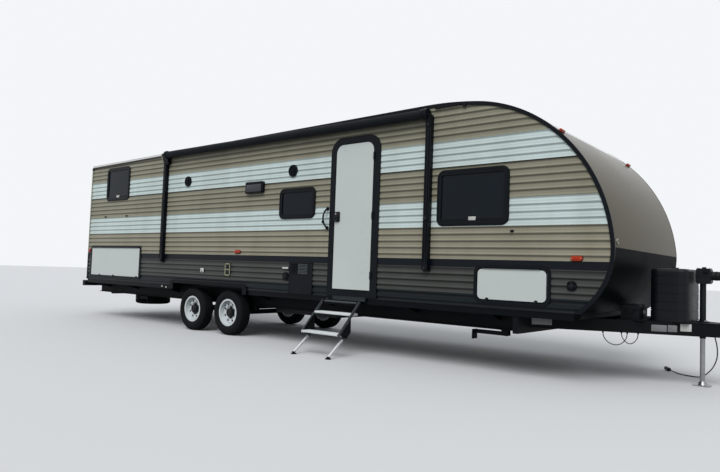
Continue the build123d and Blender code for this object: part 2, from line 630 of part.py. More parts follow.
# Tongue frame: two tubes, the deck on top of them and a gusset plate round the jack
run = hypot(TONGUE_END - TONGUE_START, RAIL_Y - TONGUE_END_Y)
angle = degrees(atan2(RAIL_Y - TONGUE_END_Y, TONGUE_END - TONGUE_START))
tongue_tube = Pos(run / 2, 0) * Rectangle(run + 400, TONGUE_WIDTH)
tongue = plate(Pos(TONGUE_START, RAIL_Y) * Rot(0, 0, -angle) * tongue_tube, TONGUE_BOTTOM, TONGUE_TOP)
tongue += plate(Pos(TONGUE_START, -RAIL_Y) * Rot(0, 0, angle) * tongue_tube, TONGUE_BOTTOM, TONGUE_TOP)
tongue &= block(TONGUE_START, TONGUE_END, -HALF, HALF, 0, 3000)
tongue += block(COVER_X[0] - 10, COVER_X[1] + 10, -COVER_HALF_WIDTH - 12, COVER_HALF_WIDTH + 12, TONGUE_TOP, DECK_TOP)
battery_x = front_station(DECK_TOP + BATTERY_HEIGHT, -ROOF_OVER) + BATTERY_GAP
tongue += block(battery_x - 12, COVER_X[0], BATTERY_Y[0] - 90, -BATTERY_Y[0] + 90, TONGUE_TOP, DECK_TOP)
wide, narrow = GUSSET_HALF_WIDTHS
gusset = polygon((COVER_X[1], -wide), (TONGUE_END, -narrow), (TONGUE_END, narrow), (COVER_X[1], wide))
tongue += plate(gusset, TONGUE_TOP, DECK_TOP)
tongue -= rod(JACK_STATION, 0, 0, JACK_TUBE_RADIUS + DECK_SLIT, 900, (0, 0, 1))
for points, radius in ((PLUG_CABLE, PLUG_CABLE_RADIUS), (LOOPS[0], LOOP_RADIUS), (LOOPS[1], LOOP_RADIUS)):
    ends = points[:1] if points is PLUG_CABLE else (points[0], points[-1])
    for x, y, z in ends:
        gland = rod(JACK_STATION + x, y, z, radius + GLAND_WALL, GLAND_LENGTH, (0, 0, -1))
        tongue += gland - rod(JACK_STATION + x, y, z, radius + BEARING_GAP, GLAND_LENGTH, (0, 0, -1))
save("tongue_frame", tongue)

# Coupler: pressed steel head with rounded edges, the ball socket below and its latch lever on top
head = rectangle(TONGUE_END, COUPLER_NOSE, -COUPLER_WIDTH / 2, COUPLER_WIDTH / 2)
head += Pos(COUPLER_NOSE, 0) * Circle(COUPLER_WIDTH / 2)
top = COUPLER_TOP + COUPLER_CAP
coupler = plate(head, COUPLER_TOP - COUPLER_HEIGHT, top)
coupler = fillet(coupler.faces().sort_by(Axis.Z)[-1].edges().sort_by(Axis.X)[1:], COUPLER_EDGE)
coupler -= rod(COUPLER_NOSE, 0, COUPLER_TOP - COUPLER_HEIGHT - 1, BALL_SOCKET_RADIUS, BALL_SOCKET_DEPTH + 1, (0, 0, 1))
lever = polygon((COUPLER_NOSE - 8, top), (COUPLER_NOSE - 26, top + 34), (TONGUE_END + 10, top + 50), (TONGUE_END + 6, top + 36),
                (COUPLER_NOSE - 66, top + 18), (COUPLER_NOSE - 74, top))
coupler += slab(lever, -LEVER_THICK / 2, LEVER_THICK / 2)
save("coupler", coupler)

# Tongue jack: outer tube with its bolting flange, gearbox and motor; the inner leg slides
jack = rod(JACK_STATION, 0, JACK_TUBE_BOTTOM, JACK_TUBE_RADIUS, JACK_TUBE_TOP - JACK_TUBE_BOTTOM, (0, 0, 1))
jack += rod(JACK_STATION, 0, DECK_TOP, *JACK_FLANGE, (0, 0, 1))
jack -= rod(JACK_STATION, 0, 0, JACK_LEG_RADIUS + BEARING_GAP, JACK_LEG_TOP + 10, (0, 0, 1))
back, ahead, wide, high = GEARBOX
gearbox = slab(rounded(JACK_STATION + back, JACK_STATION + ahead, JACK_TUBE_TOP, JACK_TUBE_TOP + high, 26), -wide / 2, wide / 2)
motor_end, motor_rise, motor_radius = MOTOR
motor = rod(JACK_STATION + ahead - 10, 0, JACK_TUBE_TOP + motor_rise, motor_radius, motor_end - ahead + 10, (1, 0, 0))
motor = fillet(motor.faces().sort_by(Axis.X)[-1].edges(), 14)
save("jack_body", jack + gearbox + motor)
leg = rod(JACK_STATION, 0, JACK_FOOT_THICK, JACK_LEG_RADIUS, JACK_LEG_TOP - JACK_TRAVEL - JACK_FOOT_THICK, (0, 0, 1))
foot = plate(Pos(JACK_STATION, 0) * RectangleRounded(JACK_FOOT, JACK_FOOT, 28), 0, JACK_FOOT_THICK)
collar = Pos(JACK_STATION, 0, JACK_FOOT_THICK + 18) * Cone(44, JACK_LEG_RADIUS, 36)
save("jack_leg", leg + foot + collar)

# Gas bottle cover: a moulding over two bottles, with a valley between them, grooves and a foot lip
cover_centre = Pos((COVER_X[0] + COVER_X[1]) / 2, 0)
cover_long, cover_wide = COVER_X[1] - COVER_X[0], 2 * COVER_HALF_WIDTH


def cover_plan(grow):
    return cover_centre * RectangleRounded(cover_long + 2 * grow, cover_wide + 2 * grow, COVER_CORNER + grow)


cover = plate(cover_plan(0), DECK_TOP, COVER_TOP)
cover = fillet(cover.faces().sort_by(Axis.Z)[-1].edges(), COVER_EDGE)
valley_radius, valley_deep = COVER_VALLEY
cover -= rod(COVER_X[0] - 1, 0, COVER_TOP + valley_radius - valley_deep, valley_radius, cover_long + 2, (1, 0, 0))
groove_high, groove_deep = COVER_GROOVE
for z in COVER_GROOVES:
    cover -= plate(cover_plan(1) - cover_plan(-groove_deep), z - groove_high / 2, z + groove_high / 2)
cover += plate(cover_plan(COVER_LIP[0] - 2), DECK_TOP, DECK_TOP + COVER_LIP[1])
save("gas_bottle_cover", cover)

# Battery box with its overhanging lid and the strap that holds it down
x0, x1 = battery_x, battery_x + BATTERY_LENGTH
y0, y1 = BATTERY_Y
lid_z = DECK_TOP + BATTERY_HEIGHT - BATTERY_LID
battery = block(x0 + BATTERY_LIP, x1 - BATTERY_LIP, y0 + BATTERY_LIP, y1 - BATTERY_LIP, DECK_TOP, lid_z)
lid = plate(rectangle(x0, x1, y0, y1), lid_z, DECK_TOP + BATTERY_HEIGHT)
battery += fillet(lid.faces().sort_by(Axis.Z)[-1].edges() + lid.edges().filter_by(Axis.Z), 10)
strap_wide, strap_thick = STRAP
middle = (y0 + y1) / 2
strap = block(x0 - strap_thick, x1 + strap_thick, middle - strap_wide / 2, middle + strap_wide / 2, DECK_TOP,
              DECK_TOP + BATTERY_HEIGHT + strap_thick)
battery += strap - block(x0 + BATTERY_LIP, x1 - BATTERY_LIP, y0, y1, DECK_TOP, lid_z)
save("battery_box", battery)

# Axle beams with backing plates and spindles
drum_inner = WHEEL_Y - 3 - DRUM_DEPTH
axles = []
SEAT_Z = TYRE_RADIUS + AXLE_TUBE_RADIUS
for station in AXLE_STATIONS:
    axle = rod(station, -drum_inner + 12, TYRE_RADIUS, AXLE_TUBE_RADIUS, 2 * drum_inner - 24, (0, 1, 0))
    for side in (-1, 1):
        start = side * (drum_inner - 12)
        axle += rod(station, start, TYRE_RADIUS, DRUM_RADIUS - 6, 11, (0, side, 0))
        axle += rod(station, start, TYRE_RADIUS, SPINDLE_RADIUS, DRUM_DEPTH + 10, (0, side, 0))
        axle += block(station - 55, station + 55, side * RAIL_Y - 40, side * RAIL_Y + 40, SEAT_Z - 12, SEAT_Z + SEAT_RISE)
    axles.append(axle)
save("axles", Compound(children=axles))

# Leaf springs over the axles: three leaves of falling length under a bolted clamp plate, an eye at the
# outer end, a slipper end on the rocker, and a rocker between each pair
springs = []
PACK_BOTTOM = SEAT_Z + SEAT_RISE + 0.3
PACK_TOP = PACK_BOTTOM + len(SPRING_PACK) * SPRING_LEAF
sag = EYE_Z - SPRING_EYE / 2 - PACK_TOP
spring_radius = (SPRING_HALF ** 2 + sag ** 2) / (2 * sag)


def leaf_face(station, index, share):
    """One leaf's side view, concentric with the others: index 0 is the longest, on top."""
    outer = spring_radius + (index + 1) * SPRING_LEAF
    turn = asin(share * SPRING_HALF / spring_radius)
    centre = PACK_TOP + spring_radius
    ends = [(station + way * radius * sin(turn), centre - radius * cos(turn))
            for radius in (outer - SPRING_LEAF, outer) for way in (-1, 1)]
    upper = ThreePointArc(ends[0], (station, centre - outer + SPRING_LEAF), ends[1])
    lower = ThreePointArc(ends[2], (station, centre - outer), ends[3])
    return make_face(Curve() + [upper, lower, Line(ends[0], ends[2]), Line(ends[1], ends[3])])


for side in (-1, 1):
    y0 = side * RAIL_Y - SPRING_WIDTH / 2
    y1 = side * RAIL_Y + SPRING_WIDTH / 2
    middle = (AXLE_STATIONS[0] + AXLE_STATIONS[1]) / 2
    rocker_half = (AXLE_STATIONS[1] - AXLE_STATIONS[0]) / 2 - SPRING_HALF
    for outward, station in zip((-1, 1), AXLE_STATIONS):
        eye_x = station + outward * SPRING_HALF
        spring = slab(leaf_face(station, 0, SPRING_PACK[0]), y0, y1)
        for index, share in list(enumerate(SPRING_PACK))[1:]:
            spring += slab(leaf_face(station, index, share), y0, y1)
        spring += rod(eye_x, y0, EYE_Z, SPRING_EYE, SPRING_WIDTH, (0, 1, 0))
        spring -= rod(eye_x, y0 - 1, EYE_Z, SPRING_PIN + BEARING_GAP, SPRING_WIDTH + 2, (0, 1, 0))
        half_long, half_wide, plate_thick, bolt_radius = CLAMP
        spring += block(station - half_long, station + half_long, side * RAIL_Y - half_wide, side * RAIL_Y + half_wide,
                        PACK_TOP, PACK_TOP + plate_thick)
        for x in (station - half_long + 10, station + half_long - 10):
            for y in (y0 - bolt_radius - 1, y1 + bolt_radius + 1):
                spring += rod(x, y, PACK_BOTTOM, bolt_radius, PACK_TOP + 2 * plate_thick - PACK_BOTTOM, (0, 0, 1))
        springs.append(spring)
    rocker = polygon((middle - rocker_half + 12, EYE_Z + 14), (middle, EYE_Z + 26), (middle + rocker_half - 12, EYE_Z + 14),
                     (middle + rocker_half - 12, EYE_Z - 4), (middle, EYE_Z - 18), (middle - rocker_half + 12, EYE_Z - 4))
    rocker = slab(rocker, y0 + 6, y1 - 6)
    rocker -= rod(middle, y0, EYE_Z, SPRING_PIN + BEARING_GAP, SPRING_WIDTH, (0, 1, 0))
    springs.append(rocker)
save("leaf_springs", Compound(children=springs))

# Wheels, drawn round the Y axis with the outer face at +Y
half_tyre = TYRE_WIDTH / 2
half_bead = RIM_WIDTH / 2
lip = RIM_RADIUS + RIM_FLANGE
shoulder = 30.0
right = [
    Line((RIM_RADIUS + 0.3, half_bead - 0.3), (lip + 0.5, half_bead - 0.3)),
    Line((lip + 0.5, half_bead - 0.3), (lip + 2, half_bead + RIM_FLANGE_THICK + 1)),
    ThreePointArc((lip + 2, half_bead + RIM_FLANGE_THICK + 1), (264, half_tyre), (TYRE_RADIUS - 22, half_tyre - 16)),
    ThreePointArc((TYRE_RADIUS - 22, half_tyre - 16), (TYRE_RADIUS - 11, half_tyre - 21), (TYRE_RADIUS - 4, shoulder * 2)),
]
tread_arc = ThreePointArc((TYRE_RADIUS - 4, shoulder * 2), (TYRE_RADIUS, 0), (TYRE_RADIUS - 4, -shoulder * 2))
left = [mirror(edge, Plane.XZ) for edge in right]
bore_line = Line((RIM_RADIUS + 0.3, half_bead - 0.3), (RIM_RADIUS + 0.3, 0.3 - half_bead))
tyre = revolve(make_face(Curve() + [*right, tread_arc, *left, bore_line]), Axis.Y)

barrel = RIM_RADIUS - 8
edge_out = half_bead + RIM_FLANGE_THICK
rim_ring = rectangle(barrel, RIM_RADIUS, -edge_out, edge_out)
rim_ring += rectangle(barrel, lip, half_bead, edge_out)
rim_ring += rectangle(barrel, lip, -edge_out, -half_bead)
disc_section = polygon((0, -3), (88, -3), (112, 20), (146, 20), (barrel + 2, -6), (barrel + 2, 4),
                       (150, 29), (109, 29), (84, 5), (0, 5))
drum_section = rectangle(DRUM_RADIUS - 12, DRUM_RADIUS, -3 - DRUM_DEPTH, -3) + rectangle(0, DRUM_RADIUS, -9, -3)
hub_section = rectangle(0, 44, -3 - DRUM_DEPTH + 14, 0) + polygon((0, 0), (56, 0), (56, 26), (48, 44), (0, 48))
rim = revolve(rim_ring, Axis.Y) + revolve(disc_section, Axis.Y)
for index in range(RIM_HOLES):
    turn = 360 / RIM_HOLES * (index + 0.5)
    rim -= rod(RIM_HOLE_CIRCLE * cos(radians(turn)), -40, RIM_HOLE_CIRCLE * sin(radians(turn)), RIM_HOLE_RADIUS, 100, (0, 1, 0))
wheel_disc = rim
rim += revolve(drum_section, Axis.Y) + revolve(hub_section, Axis.Y)
rim -= rod(0, -100, 0, SPINDLE_RADIUS + BEARING_GAP, 100 + 14, (0, 1, 0))
for row, station in (("rear", AXLE_STATIONS[0]), ("front", AXLE_STATIONS[1])):
    for side, place in ((-1, "door_side"), (1, "off_side")):
        turn = Rot(0, 0, 180) if side < 0 else Rot(0, 0, 0)
        at = Pos(station, side * WHEEL_Y, TYRE_RADIUS)
        save("tyre_" + row + "_" + place, at * turn * tyre)
        save("rim_" + row + "_" + place, at * turn * rim)

# Spare wheel, lying flat against its carrier bar
spare_centre = RAIL_BOTTOM - SPARE_BAR[1] - half_tyre
spare = tyre + revolve(rectangle(barrel, RIM_RADIUS + 0.4, -half_bead, half_bead), Axis.Y) + wheel_disc
spare -= rod(0, -100, 0, 10.4, 200, (0, 1, 0))
save("spare_wheel", Pos(SPARE_STATION, 0, spare_centre) * Rot(90, 0, 0) * spare)

# Windows: black clamp frames and dark glass
frames, panes = [], []
for side, x0, x1, z0, z1 in WINDOWS:
    f = WINDOW_FLANGE
    g = f + WINDOW_SLEEVE
    outer = rounded(x0, x1, z0, z1, WINDOW_CORNER)
    hole = rounded(x0 + f, x1 - f, z0 + f, z1 - f, WINDOW_CORNER - f)
    sleeve = rounded(x0 + g, x1 - g, z0 + g, z1 - g, WINDOW_CORNER - g)
    frame = side_slab(outer - sleeve, side, HALF, HALF + WINDOW_PROUD)
    face = frame.faces().sort_by(Axis.Y)[0 if side < 0 else -1]
    frame = chamfer(face.outer_wire().edges(), WINDOW_EDGE)
    frame += side_slab(hole - sleeve, side, WALL_IN, HALF)
    frames.append(frame)
    panes.append(side_slab(sleeve, side, HALF - GLASS_SET, HALF - GLASS_SET + GLASS_THICK))
save("window_frames", Compound(children=frames))
save("window_glass", Compound(children=panes))

# Entry door frame: jamb in the wall opening and black flange on the siding
x0, x1 = DOOR_X
z0, z1 = DOOR_Z
flange_rear, flange_front, flange_top, flange_bottom = DOOR_FLANGE
flange = doorway(x0 - flange_rear, x1 + flange_front, z0 - flange_bottom, z1 + flange_top, DOOR_FRAME_CORNER, 2)
opening = doorway(x0, x1, z0, z1, DOOR_CORNER, DOOR_FOOT_CORNER)
j = DOOR_JAMB
jamb = doorway(x0 - j, x1 + j, z0 - j, z1 + j, DOOR_CORNER + j, DOOR_FOOT_CORNER + j)
door_frame = side_slab(flange - opening, -1, HALF, HALF + FRAME_PROUD)
door_frame += side_slab(jamb - opening, -1, WALL_IN, HALF)
save("entry_door_frame", door_frame)

# Entry door leaf with its hinge knuckles, lock plate and grip
hinge_x = x1 + 10
hinge_y = HALF + HINGE_OUT
g = DOOR_GAP
leaf_shape = doorway(x0 + g, x1 - g, z0 + g, z1 - g, DOOR_CORNER - g, DOOR_FOOT_CORNER - g)
leaf_out = HALF + DOOR_PROUD
door = side_slab(leaf_shape, -1, leaf_out - DOOR_THICK, leaf_out)
for z in DOOR_HINGES:
    door += rod(hinge_x, -hinge_y, z - 45, HINGE_RADIUS, 90, (0, 0, 1))
    door += block(x1 - LEAF_ON, hinge_x, -hinge_y - 3, -hinge_y + 3, z - 45, z + 45)
    door += block(x1 - LEAF_ON, x1 - DOOR_GAP - 2, -hinge_y + 3, -leaf_out, z - 45, z + 45)
for low, high, bottom, top, proud in (LOCK_PLATE, LOCK_GRIP):
    door += block(x0 + low, x0 + high, -leaf_out - proud, -leaf_out, bottom, top)
save("entry_door", door)

# Baggage doors and their black frames
baggage_frames = []
for name, side, x0, x1, z0, z1, corner in BAGGAGE:
    f, j, g = BAGGAGE_FLANGE, BAGGAGE_JAMB, BAGGAGE_GAP
    opening = rounded(x0, x1, z0, z1, corner)
    flange = rounded(x0 - f, x1 + f, z0 - f + 6, z1 + f, corner + f - 8) - opening
    frame = side_slab(flange, side, HALF, HALF + FRAME_PROUD)
    jamb = rounded(x0 - j, x1 + j, z0 - j, z1 + j, corner + j) - opening
    frame += side_slab(jamb, side, WALL_IN, HALF)
    baggage_frames.append(frame)
    panel = rounded(x0 + g, x1 - g, z0 + g, z1 - g, corner - g)
    hatch_out = HALF + DOOR_PROUD
    hatch = side_slab(panel, side, hatch_out - BAGGAGE_THICK, hatch_out)
    strip = rectangle(x0 + corner + 20, x1 - corner - 20, z1 - STRIP_ON, z1 + 8)
    hatch += side_slab(strip, side, HALF + HINGE_OUT - STRIP_THICK, HALF + HINGE_OUT)
    web = rectangle(x0 + corner + 20, x1 - corner - 20, z1 - STRIP_ON, z1 - g - 3)
    hatch += side_slab(web, side, hatch_out, HALF + HINGE_OUT - STRIP_THICK)
    hatch += rod(x0 + corner + 20, side * (HALF + HINGE_OUT), z1 + 8, HINGE_RADIUS, x1 - x0 - 2 * corner - 40, (1, 0, 0))
    save("baggage_door_" + name, hatch)
save("baggage_frames", Compound(children=baggage_frames))

# Awning: rolled fabric on its tube between two folded arms
roll = rod(AWNING_X[0], -HALF - AWNING_OUT, AWNING_Z, AWNING_RADIUS, AWNING_X[1] - AWNING_X[0], (1, 0, 0))
save("awning_roller", roll)
arms = []
face_y = -HALF - ARM_DEPTH
arm_top = AWNING_Z - END_CAP[0]
groove_wide, groove_deep, groove_off = ARM_GROOVE
foot_wide, foot_high, foot_thick = ARM_FOOT
cap_radius, cap_long = END_CAP
for station, roll_end, way in zip(ARM_STATIONS, AWNING_X, (-1, 1)):
    arm = block(station - ARM_WIDTH / 2, station + ARM_WIDTH / 2, face_y, -HALF, ARM_BOTTOM, arm_top)
    for x in (station - groove_off, station + groove_off):
        arm -= block(x - groove_wide / 2, x + groove_wide / 2, face_y, face_y + groove_deep, ARM_BOTTOM + foot_high, arm_top - foot_high)
    arm += block(station - foot_wide / 2, station + foot_wide / 2, -HALF - foot_thick, -HALF, ARM_BOTTOM - 20, ARM_BOTTOM + foot_high)
    cap_start = min(roll_end, roll_end + way * cap_long)
    arm += rod(cap_start, -HALF - AWNING_OUT, AWNING_Z, cap_radius, cap_long, (1, 0, 0))
    neck = polygon((-HALF, arm_top - foot_high), (face_y, arm_top - foot_high), (-HALF - AWNING_OUT - 20, AWNING_Z - 20),
                   (-HALF - AWNING_OUT + 20, AWNING_Z), (-HALF, AWNING_Z - 20))
    arm += bar(neck, min(roll_end, station + way * ARM_WIDTH / 2), max(roll_end, station + way * ARM_WIDTH / 2))
    arms.append(arm)
save("awning_arms", Compound(children=arms))

# Entry steps: two side bars on a pivot tube, two treads and two adjustable legs
down = radians(STEP_ANGLE)


def along(distance, across=0.0):
    """A point of the steps' side view: distance down the bars, and across them, upwards."""
    return (pivot_y + distance * cos(down) + across * sin(down), STEP_PIVOT_Z - distance * sin(down) + across * cos(down))


bar_wide, bar_deep = STEP_BAR
corners = [along(-16, -bar_deep / 2), along(STEP_LENGTH, -bar_deep / 2), along(STEP_LENGTH, bar_deep / 2), along(-16, bar_deep / 2)]
bar_face = polygon(*[(-y, z) for y, z in corners])
steps = rod(STEP_X[0], -pivot_y, STEP_PIVOT_Z, STEP_PIVOT_RADIUS, STEP_X[1] - STEP_X[0], (1, 0, 0))
slope = radians(STEP_LEG_SLOPE)
leg_top = along(STEP_LENGTH - STEP_LEG_START, -STEP_LEG_BELOW)
foot_half_x, foot_half_y, foot_thick = STEP_FOOT
foot_top = foot_thick - 4
leg_length = (leg_top[1] - foot_top) / sin(slope)
foot_y = leg_top[0] + leg_length * cos(slope)
for x, inward in ((STEP_X[0], 1), (STEP_X[1], -1)):
    steps += bar(bar_face, x - bar_wide / 2, x + bar_wide / 2)
    leg_x = x + inward * (bar_wide / 2 + STEP_LEG / 2)
    cheek = polygon(*[(-y, z) for y, z in (
        along(STEP_LENGTH - 170, 0), along(STEP_LENGTH - 50, 0),
        along(STEP_LENGTH - 98, -STEP_LEG_BELOW - 16), along(STEP_LENGTH - 148, -STEP_LEG_BELOW - 16))])
    steps += bar(cheek, min(x, x + inward * bar_wide / 2), max(x, x + inward * bar_wide / 2))
    leg_plane = Plane(origin=(leg_x, -leg_top[0], leg_top[1]), x_dir=(1, 0, 0), z_dir=(0, -cos(slope), -sin(slope)))
    steps += extrude(leg_plane * RectangleRounded(STEP_LEG, STEP_LEG, 4), leg_length)
    steps += block(leg_x - foot_half_x, leg_x + foot_half_x, -foot_y - foot_half_y, -foot_y + foot_half_y, 0, foot_thick)
save("step_frame", steps)
treads = []
for distance in TREADS:
    y, z = along(distance)
    tread = block(STEP_X[0] + bar_wide / 2, STEP_X[1] - bar_wide / 2,
                  -y - TREAD_NOSE, -y - TREAD_NOSE + TREAD_DEPTH, z - TREAD_THICK / 2, z + TREAD_THICK / 2)
    treads.append(tread)
save("step_treads", Compound(children=treads))

# Roof vents: a hollow moulded lid on each upstand, hinged on its rear edge
for name, station in VENTS:
    top = roof_z(station, -ROOF_OVER) + VENT_UP + VENT_GAP
    wide = VENT_SIZE + 2 * VENT_LID_OVER
    lid = plate(Pos(station, 0) * RectangleRounded(wide, wide, VENT_LID_CORNER), top, top + VENT_LID_THICK)
    lid = fillet(lid.faces().sort_by(Axis.Z)[-1].edges(), VENT_LID_EDGE)
    inside = VENT_SIZE / 2 - VENT_WALL - 5
    lid -= block(station - inside, station + inside, -inside, inside, top, top + VENT_LID_THICK - VENT_LID_WALL)
    lid += rod(station - wide / 2, -VENT_PIN[1] / 2, top, VENT_PIN[0], VENT_PIN[1], (0, 1, 0))
    save("vent_lid_" + name, lid)

# Air conditioner: a base pan and a shroud that narrows upwards, square to the sloping roof
slope_up = (-sin(radians(ROOF_SLOPE)), 0, cos(radians(ROOF_SLOPE)))
roof_plane = Plane(origin=(COOLER_STATION, 0, roof_z(COOLER_STATION, -ROOF_OVER)), x_dir=(1, 0, 0), z_dir=slope_up)
foot_long, foot_wide, foot_corner, pan_thick = COOLER_FOOT
crown_long, crown_wide, crown_corner = COOLER_CROWN
pan = extrude(roof_plane * RectangleRounded(foot_long, foot_wide, foot_corner), pan_thick)
low_face = roof_plane.offset(pan_thick) * RectangleRounded(foot_long - 40, foot_wide - 40, foot_corner)
crown = roof_plane.offset(COOLER_HEIGHT) * Pos(COOLER_AHEAD, 0) * RectangleRounded(crown_long, crown_wide, crown_corner)
shroud = loft([low_face, crown])
shroud = fillet(shroud.faces().sort_by(Axis.Z)[-1].edges(), COOLER_EDGE)
save("air_conditioner", pan + shroud)

# Stabilisers: a bracket under the rail and a leg that swings down about a cross pin
brackets = []
for name, station, side, way in STABILISERS:
    pin_z = RAIL_BOTTOM - STABILISER_DROP
    y = side * STABILISER_Y
    gap = STABILISER_TUBE / 2 + 6
    bracket = block(station - 60, station + 60, y - gap - 6, y + gap + 6, RAIL_BOTTOM - 8, RAIL_BOTTOM)
    for face in (-1, 1):
        bracket += block(station - 40, station + 40, y + face * (gap + 3) - 3, y + face * (gap + 3) + 3, pin_z - 22, RAIL_BOTTOM - 8)
    bracket += rod(station, y - gap - 6, pin_z, 9, 2 * gap + 12, (0, 1, 0))
    brackets.append(bracket)
    leg = block(-26, STABILISER_LENGTH, -STABILISER_TUBE / 2, STABILISER_TUBE / 2, -STABILISER_TUBE / 2, STABILISER_TUBE / 2)
    leg += block(STABILISER_LENGTH, STABILISER_LENGTH + 10, -55, 55, -STABILISER_FOOT + 22, 22)
    leg -= rod(0, -50, 0, 9 + BEARING_GAP, 100, (0, 1, 0))
    turn = Rot(0, 0, 0) if way > 0 else Rot(0, 0, 180)
    save("stabiliser_leg_" + name, Pos(station, y, pin_z) * turn * leg)
save("stabiliser_brackets", Compound(children=brackets))

# Holding tank under the floor, with its drain pipe to the off side
tank = block(*TANK_X, -TANK_HALF_WIDTH, TANK_HALF_WIDTH, TANK_BOTTOM, RAIL_TOP)
tank = fillet(tank.edges().filter_by(Axis.X).sort_by(Axis.Z)[:2], 50)
tank += rod(TANK_X[0] + 200, TANK_HALF_WIDTH - 5, RAIL_BOTTOM - DRAIN_RADIUS - 4, DRAIN_RADIUS, 330, (0, 1, 0))
save("holding_tank", tank)

# Lamps: clearance lamps along the top of the front, side markers, and tail lamps behind
lamps = []
lamp_x, lamp_z = on_arc(*front_arcs(-ROOF_OVER)[1][:2], LAMP_TURN)
for y in FRONT_LAMPS:
    face = Plane(origin=(lamp_x, y, lamp_z), x_dir=(0, 1, 0), z_dir=(sin(radians(LAMP_TURN)), 0, cos(radians(LAMP_TURN))))
    lamps.append(extrude(face * SlotOverall(LAMP_SIZE[0], LAMP_SIZE[1]), LAMP_SIZE[2]))
for station, z, length, height in SIDE_MARKERS:
    for side in (-1, 1):
        shape = Pos(station, z) * SlotOverall(length, height)
        lamps.append(side_slab(shape, side, HALF, HALF + LAMP_SIZE[2]))
for y in REAR_LAMPS:
    face = Plane(origin=(0, y, roof_z(0) - 60), x_dir=(0, 1, 0), z_dir=(-1, 0, 0))
    lamps.append(extrude(face * SlotOverall(LAMP_SIZE[0], LAMP_SIZE[1]), LAMP_SIZE[2]))
for side in (-1, 1):
    y, z = side * TAIL_LAMP[0], TAIL_LAMP[1]
    face = Plane(origin=(0, y, z), x_dir=(0, 1, 0), z_dir=(-1, 0, 0))
    lamps.append(extrude(face * RectangleRounded(TAIL_LAMP[2], TAIL_LAMP[3], 20), 34))
save("lamps", Compound(children=lamps))

# Side fittings: speakers, porch lamp, service hatch, inlets and vents, in one table
fittings = []
for side, station, z, length, height, proud, corner in FITTINGS:
    shape = Pos(station, z) * RectangleRounded(length, height, corner)
    fittings.append(side_slab(shape, side, HALF, HALF + proud))
handle_x, handle_low, handle_high = GRAB_HANDLE
bow = ThreePointArc((handle_x, -HALF - 8, handle_low), (handle_x, -HALF - 92, (handle_low + handle_high) / 2),
                    (handle_x, -HALF - 8, handle_high))
grab = sweep(Plane(origin=bow @ 0, z_dir=bow % 0) * Circle(11), path=bow)
for z in (handle_low, handle_high):
    grab += rod(handle_x, -HALF, z, 24, 14, (0, -1, 0))
save("side_fittings", Compound(children=fittings))
save("grab_handle", grab)

# Cables: the plug-in cable that hangs to the ground behind the jack, and two short loops
def corner_radii(points):
    radii = []
    for before, at, after in zip(points, points[1:], points[2:]):
        first, second = Vector(*at) - Vector(*before), Vector(*after) - Vector(*at)
        turn = radians(first.get_angle(second))
        radii.append(0.45 * min(first.length, second.length) / tan(turn / 2))
    return radii


def cable(name, points, radius):
    """A tube of straight runs joined by tangent arcs."""
    radii = corner_radii(points)
    path = FilletPolyline(*points, radius=radii)
    start = Plane(origin=points[0], z_dir=Vector(*points[1]) - Vector(*points[0]))
    tube = sweep(start * Circle(radius), path=path)
    share = tube.volume / (pi * radius ** 2 * path.length)
    print(name, "length", round(path.length), "volume share", round(share, 4), "least radius", round(min(radii)),
          "in diameters", round(min(radii) / (2 * radius), 1))
    save(name, tube, moved=False)


cable("plug_cable", PLUG_CABLE, PLUG_CABLE_RADIUS)
for index, points in enumerate(LOOPS):
    cable("brake_cable_loop_" + str(index + 1), points, LOOP_RADIUS)

# Trailer plug on the end of the cable, with its strain relief
tip = Vector(*PLUG_CABLE[-1])
heading = (tip - Vector(*PLUG_CABLE[-2])).normalized()
plug_plane = Plane(origin=tip, z_dir=heading)
plug = extrude(plug_plane * Circle(13), 26)
plug += extrude(plug_plane.offset(26) * Circle(PLUG_RADIUS), PLUG_LENGTH)
save("cable_plug", plug, moved=False)

print("nodes", len(made))
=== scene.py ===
import bmesh
import bpy
from math import atan2, cos, hypot, pi, radians, sin, tan
from mathutils import Matrix, Vector


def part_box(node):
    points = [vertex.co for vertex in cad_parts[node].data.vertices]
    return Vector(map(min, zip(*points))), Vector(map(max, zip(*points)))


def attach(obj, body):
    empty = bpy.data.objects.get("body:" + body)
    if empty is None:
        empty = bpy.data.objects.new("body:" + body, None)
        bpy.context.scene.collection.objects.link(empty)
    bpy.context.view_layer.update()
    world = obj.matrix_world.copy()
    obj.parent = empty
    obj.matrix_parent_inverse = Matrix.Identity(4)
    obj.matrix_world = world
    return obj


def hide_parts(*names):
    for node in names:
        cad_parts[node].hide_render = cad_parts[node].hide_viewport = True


bpy.ops.wm.read_factory_settings(use_empty=True)
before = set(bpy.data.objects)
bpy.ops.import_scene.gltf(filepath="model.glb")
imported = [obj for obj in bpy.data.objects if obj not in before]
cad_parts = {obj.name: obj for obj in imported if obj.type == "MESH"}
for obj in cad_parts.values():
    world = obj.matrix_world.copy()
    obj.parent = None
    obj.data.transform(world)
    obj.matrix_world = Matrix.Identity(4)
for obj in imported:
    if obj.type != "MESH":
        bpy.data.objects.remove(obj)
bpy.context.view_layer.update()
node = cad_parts

# Studio: a pale concrete floor under a wide soft sky, with one broad lamp on the door side. The floor
# and the sky show pale to the camera, and light the caravan at a plain level, mostly from above.
def feed(tree, socket, value):
    """Give a node's input another node's output, or a plain number or colour."""
    if isinstance(value, bpy.types.NodeSocket):
        tree.links.new(value, socket)
    else:
        socket.default_value = value


def reckon(tree, operation, *values):
    """The result of one sum on numbers and on other nodes' outputs."""
    working = tree.nodes.new("ShaderNodeMath")
    working.operation = operation
    for socket, value in zip(working.inputs, values):
        feed(tree, socket, value)
    return working.outputs[0]


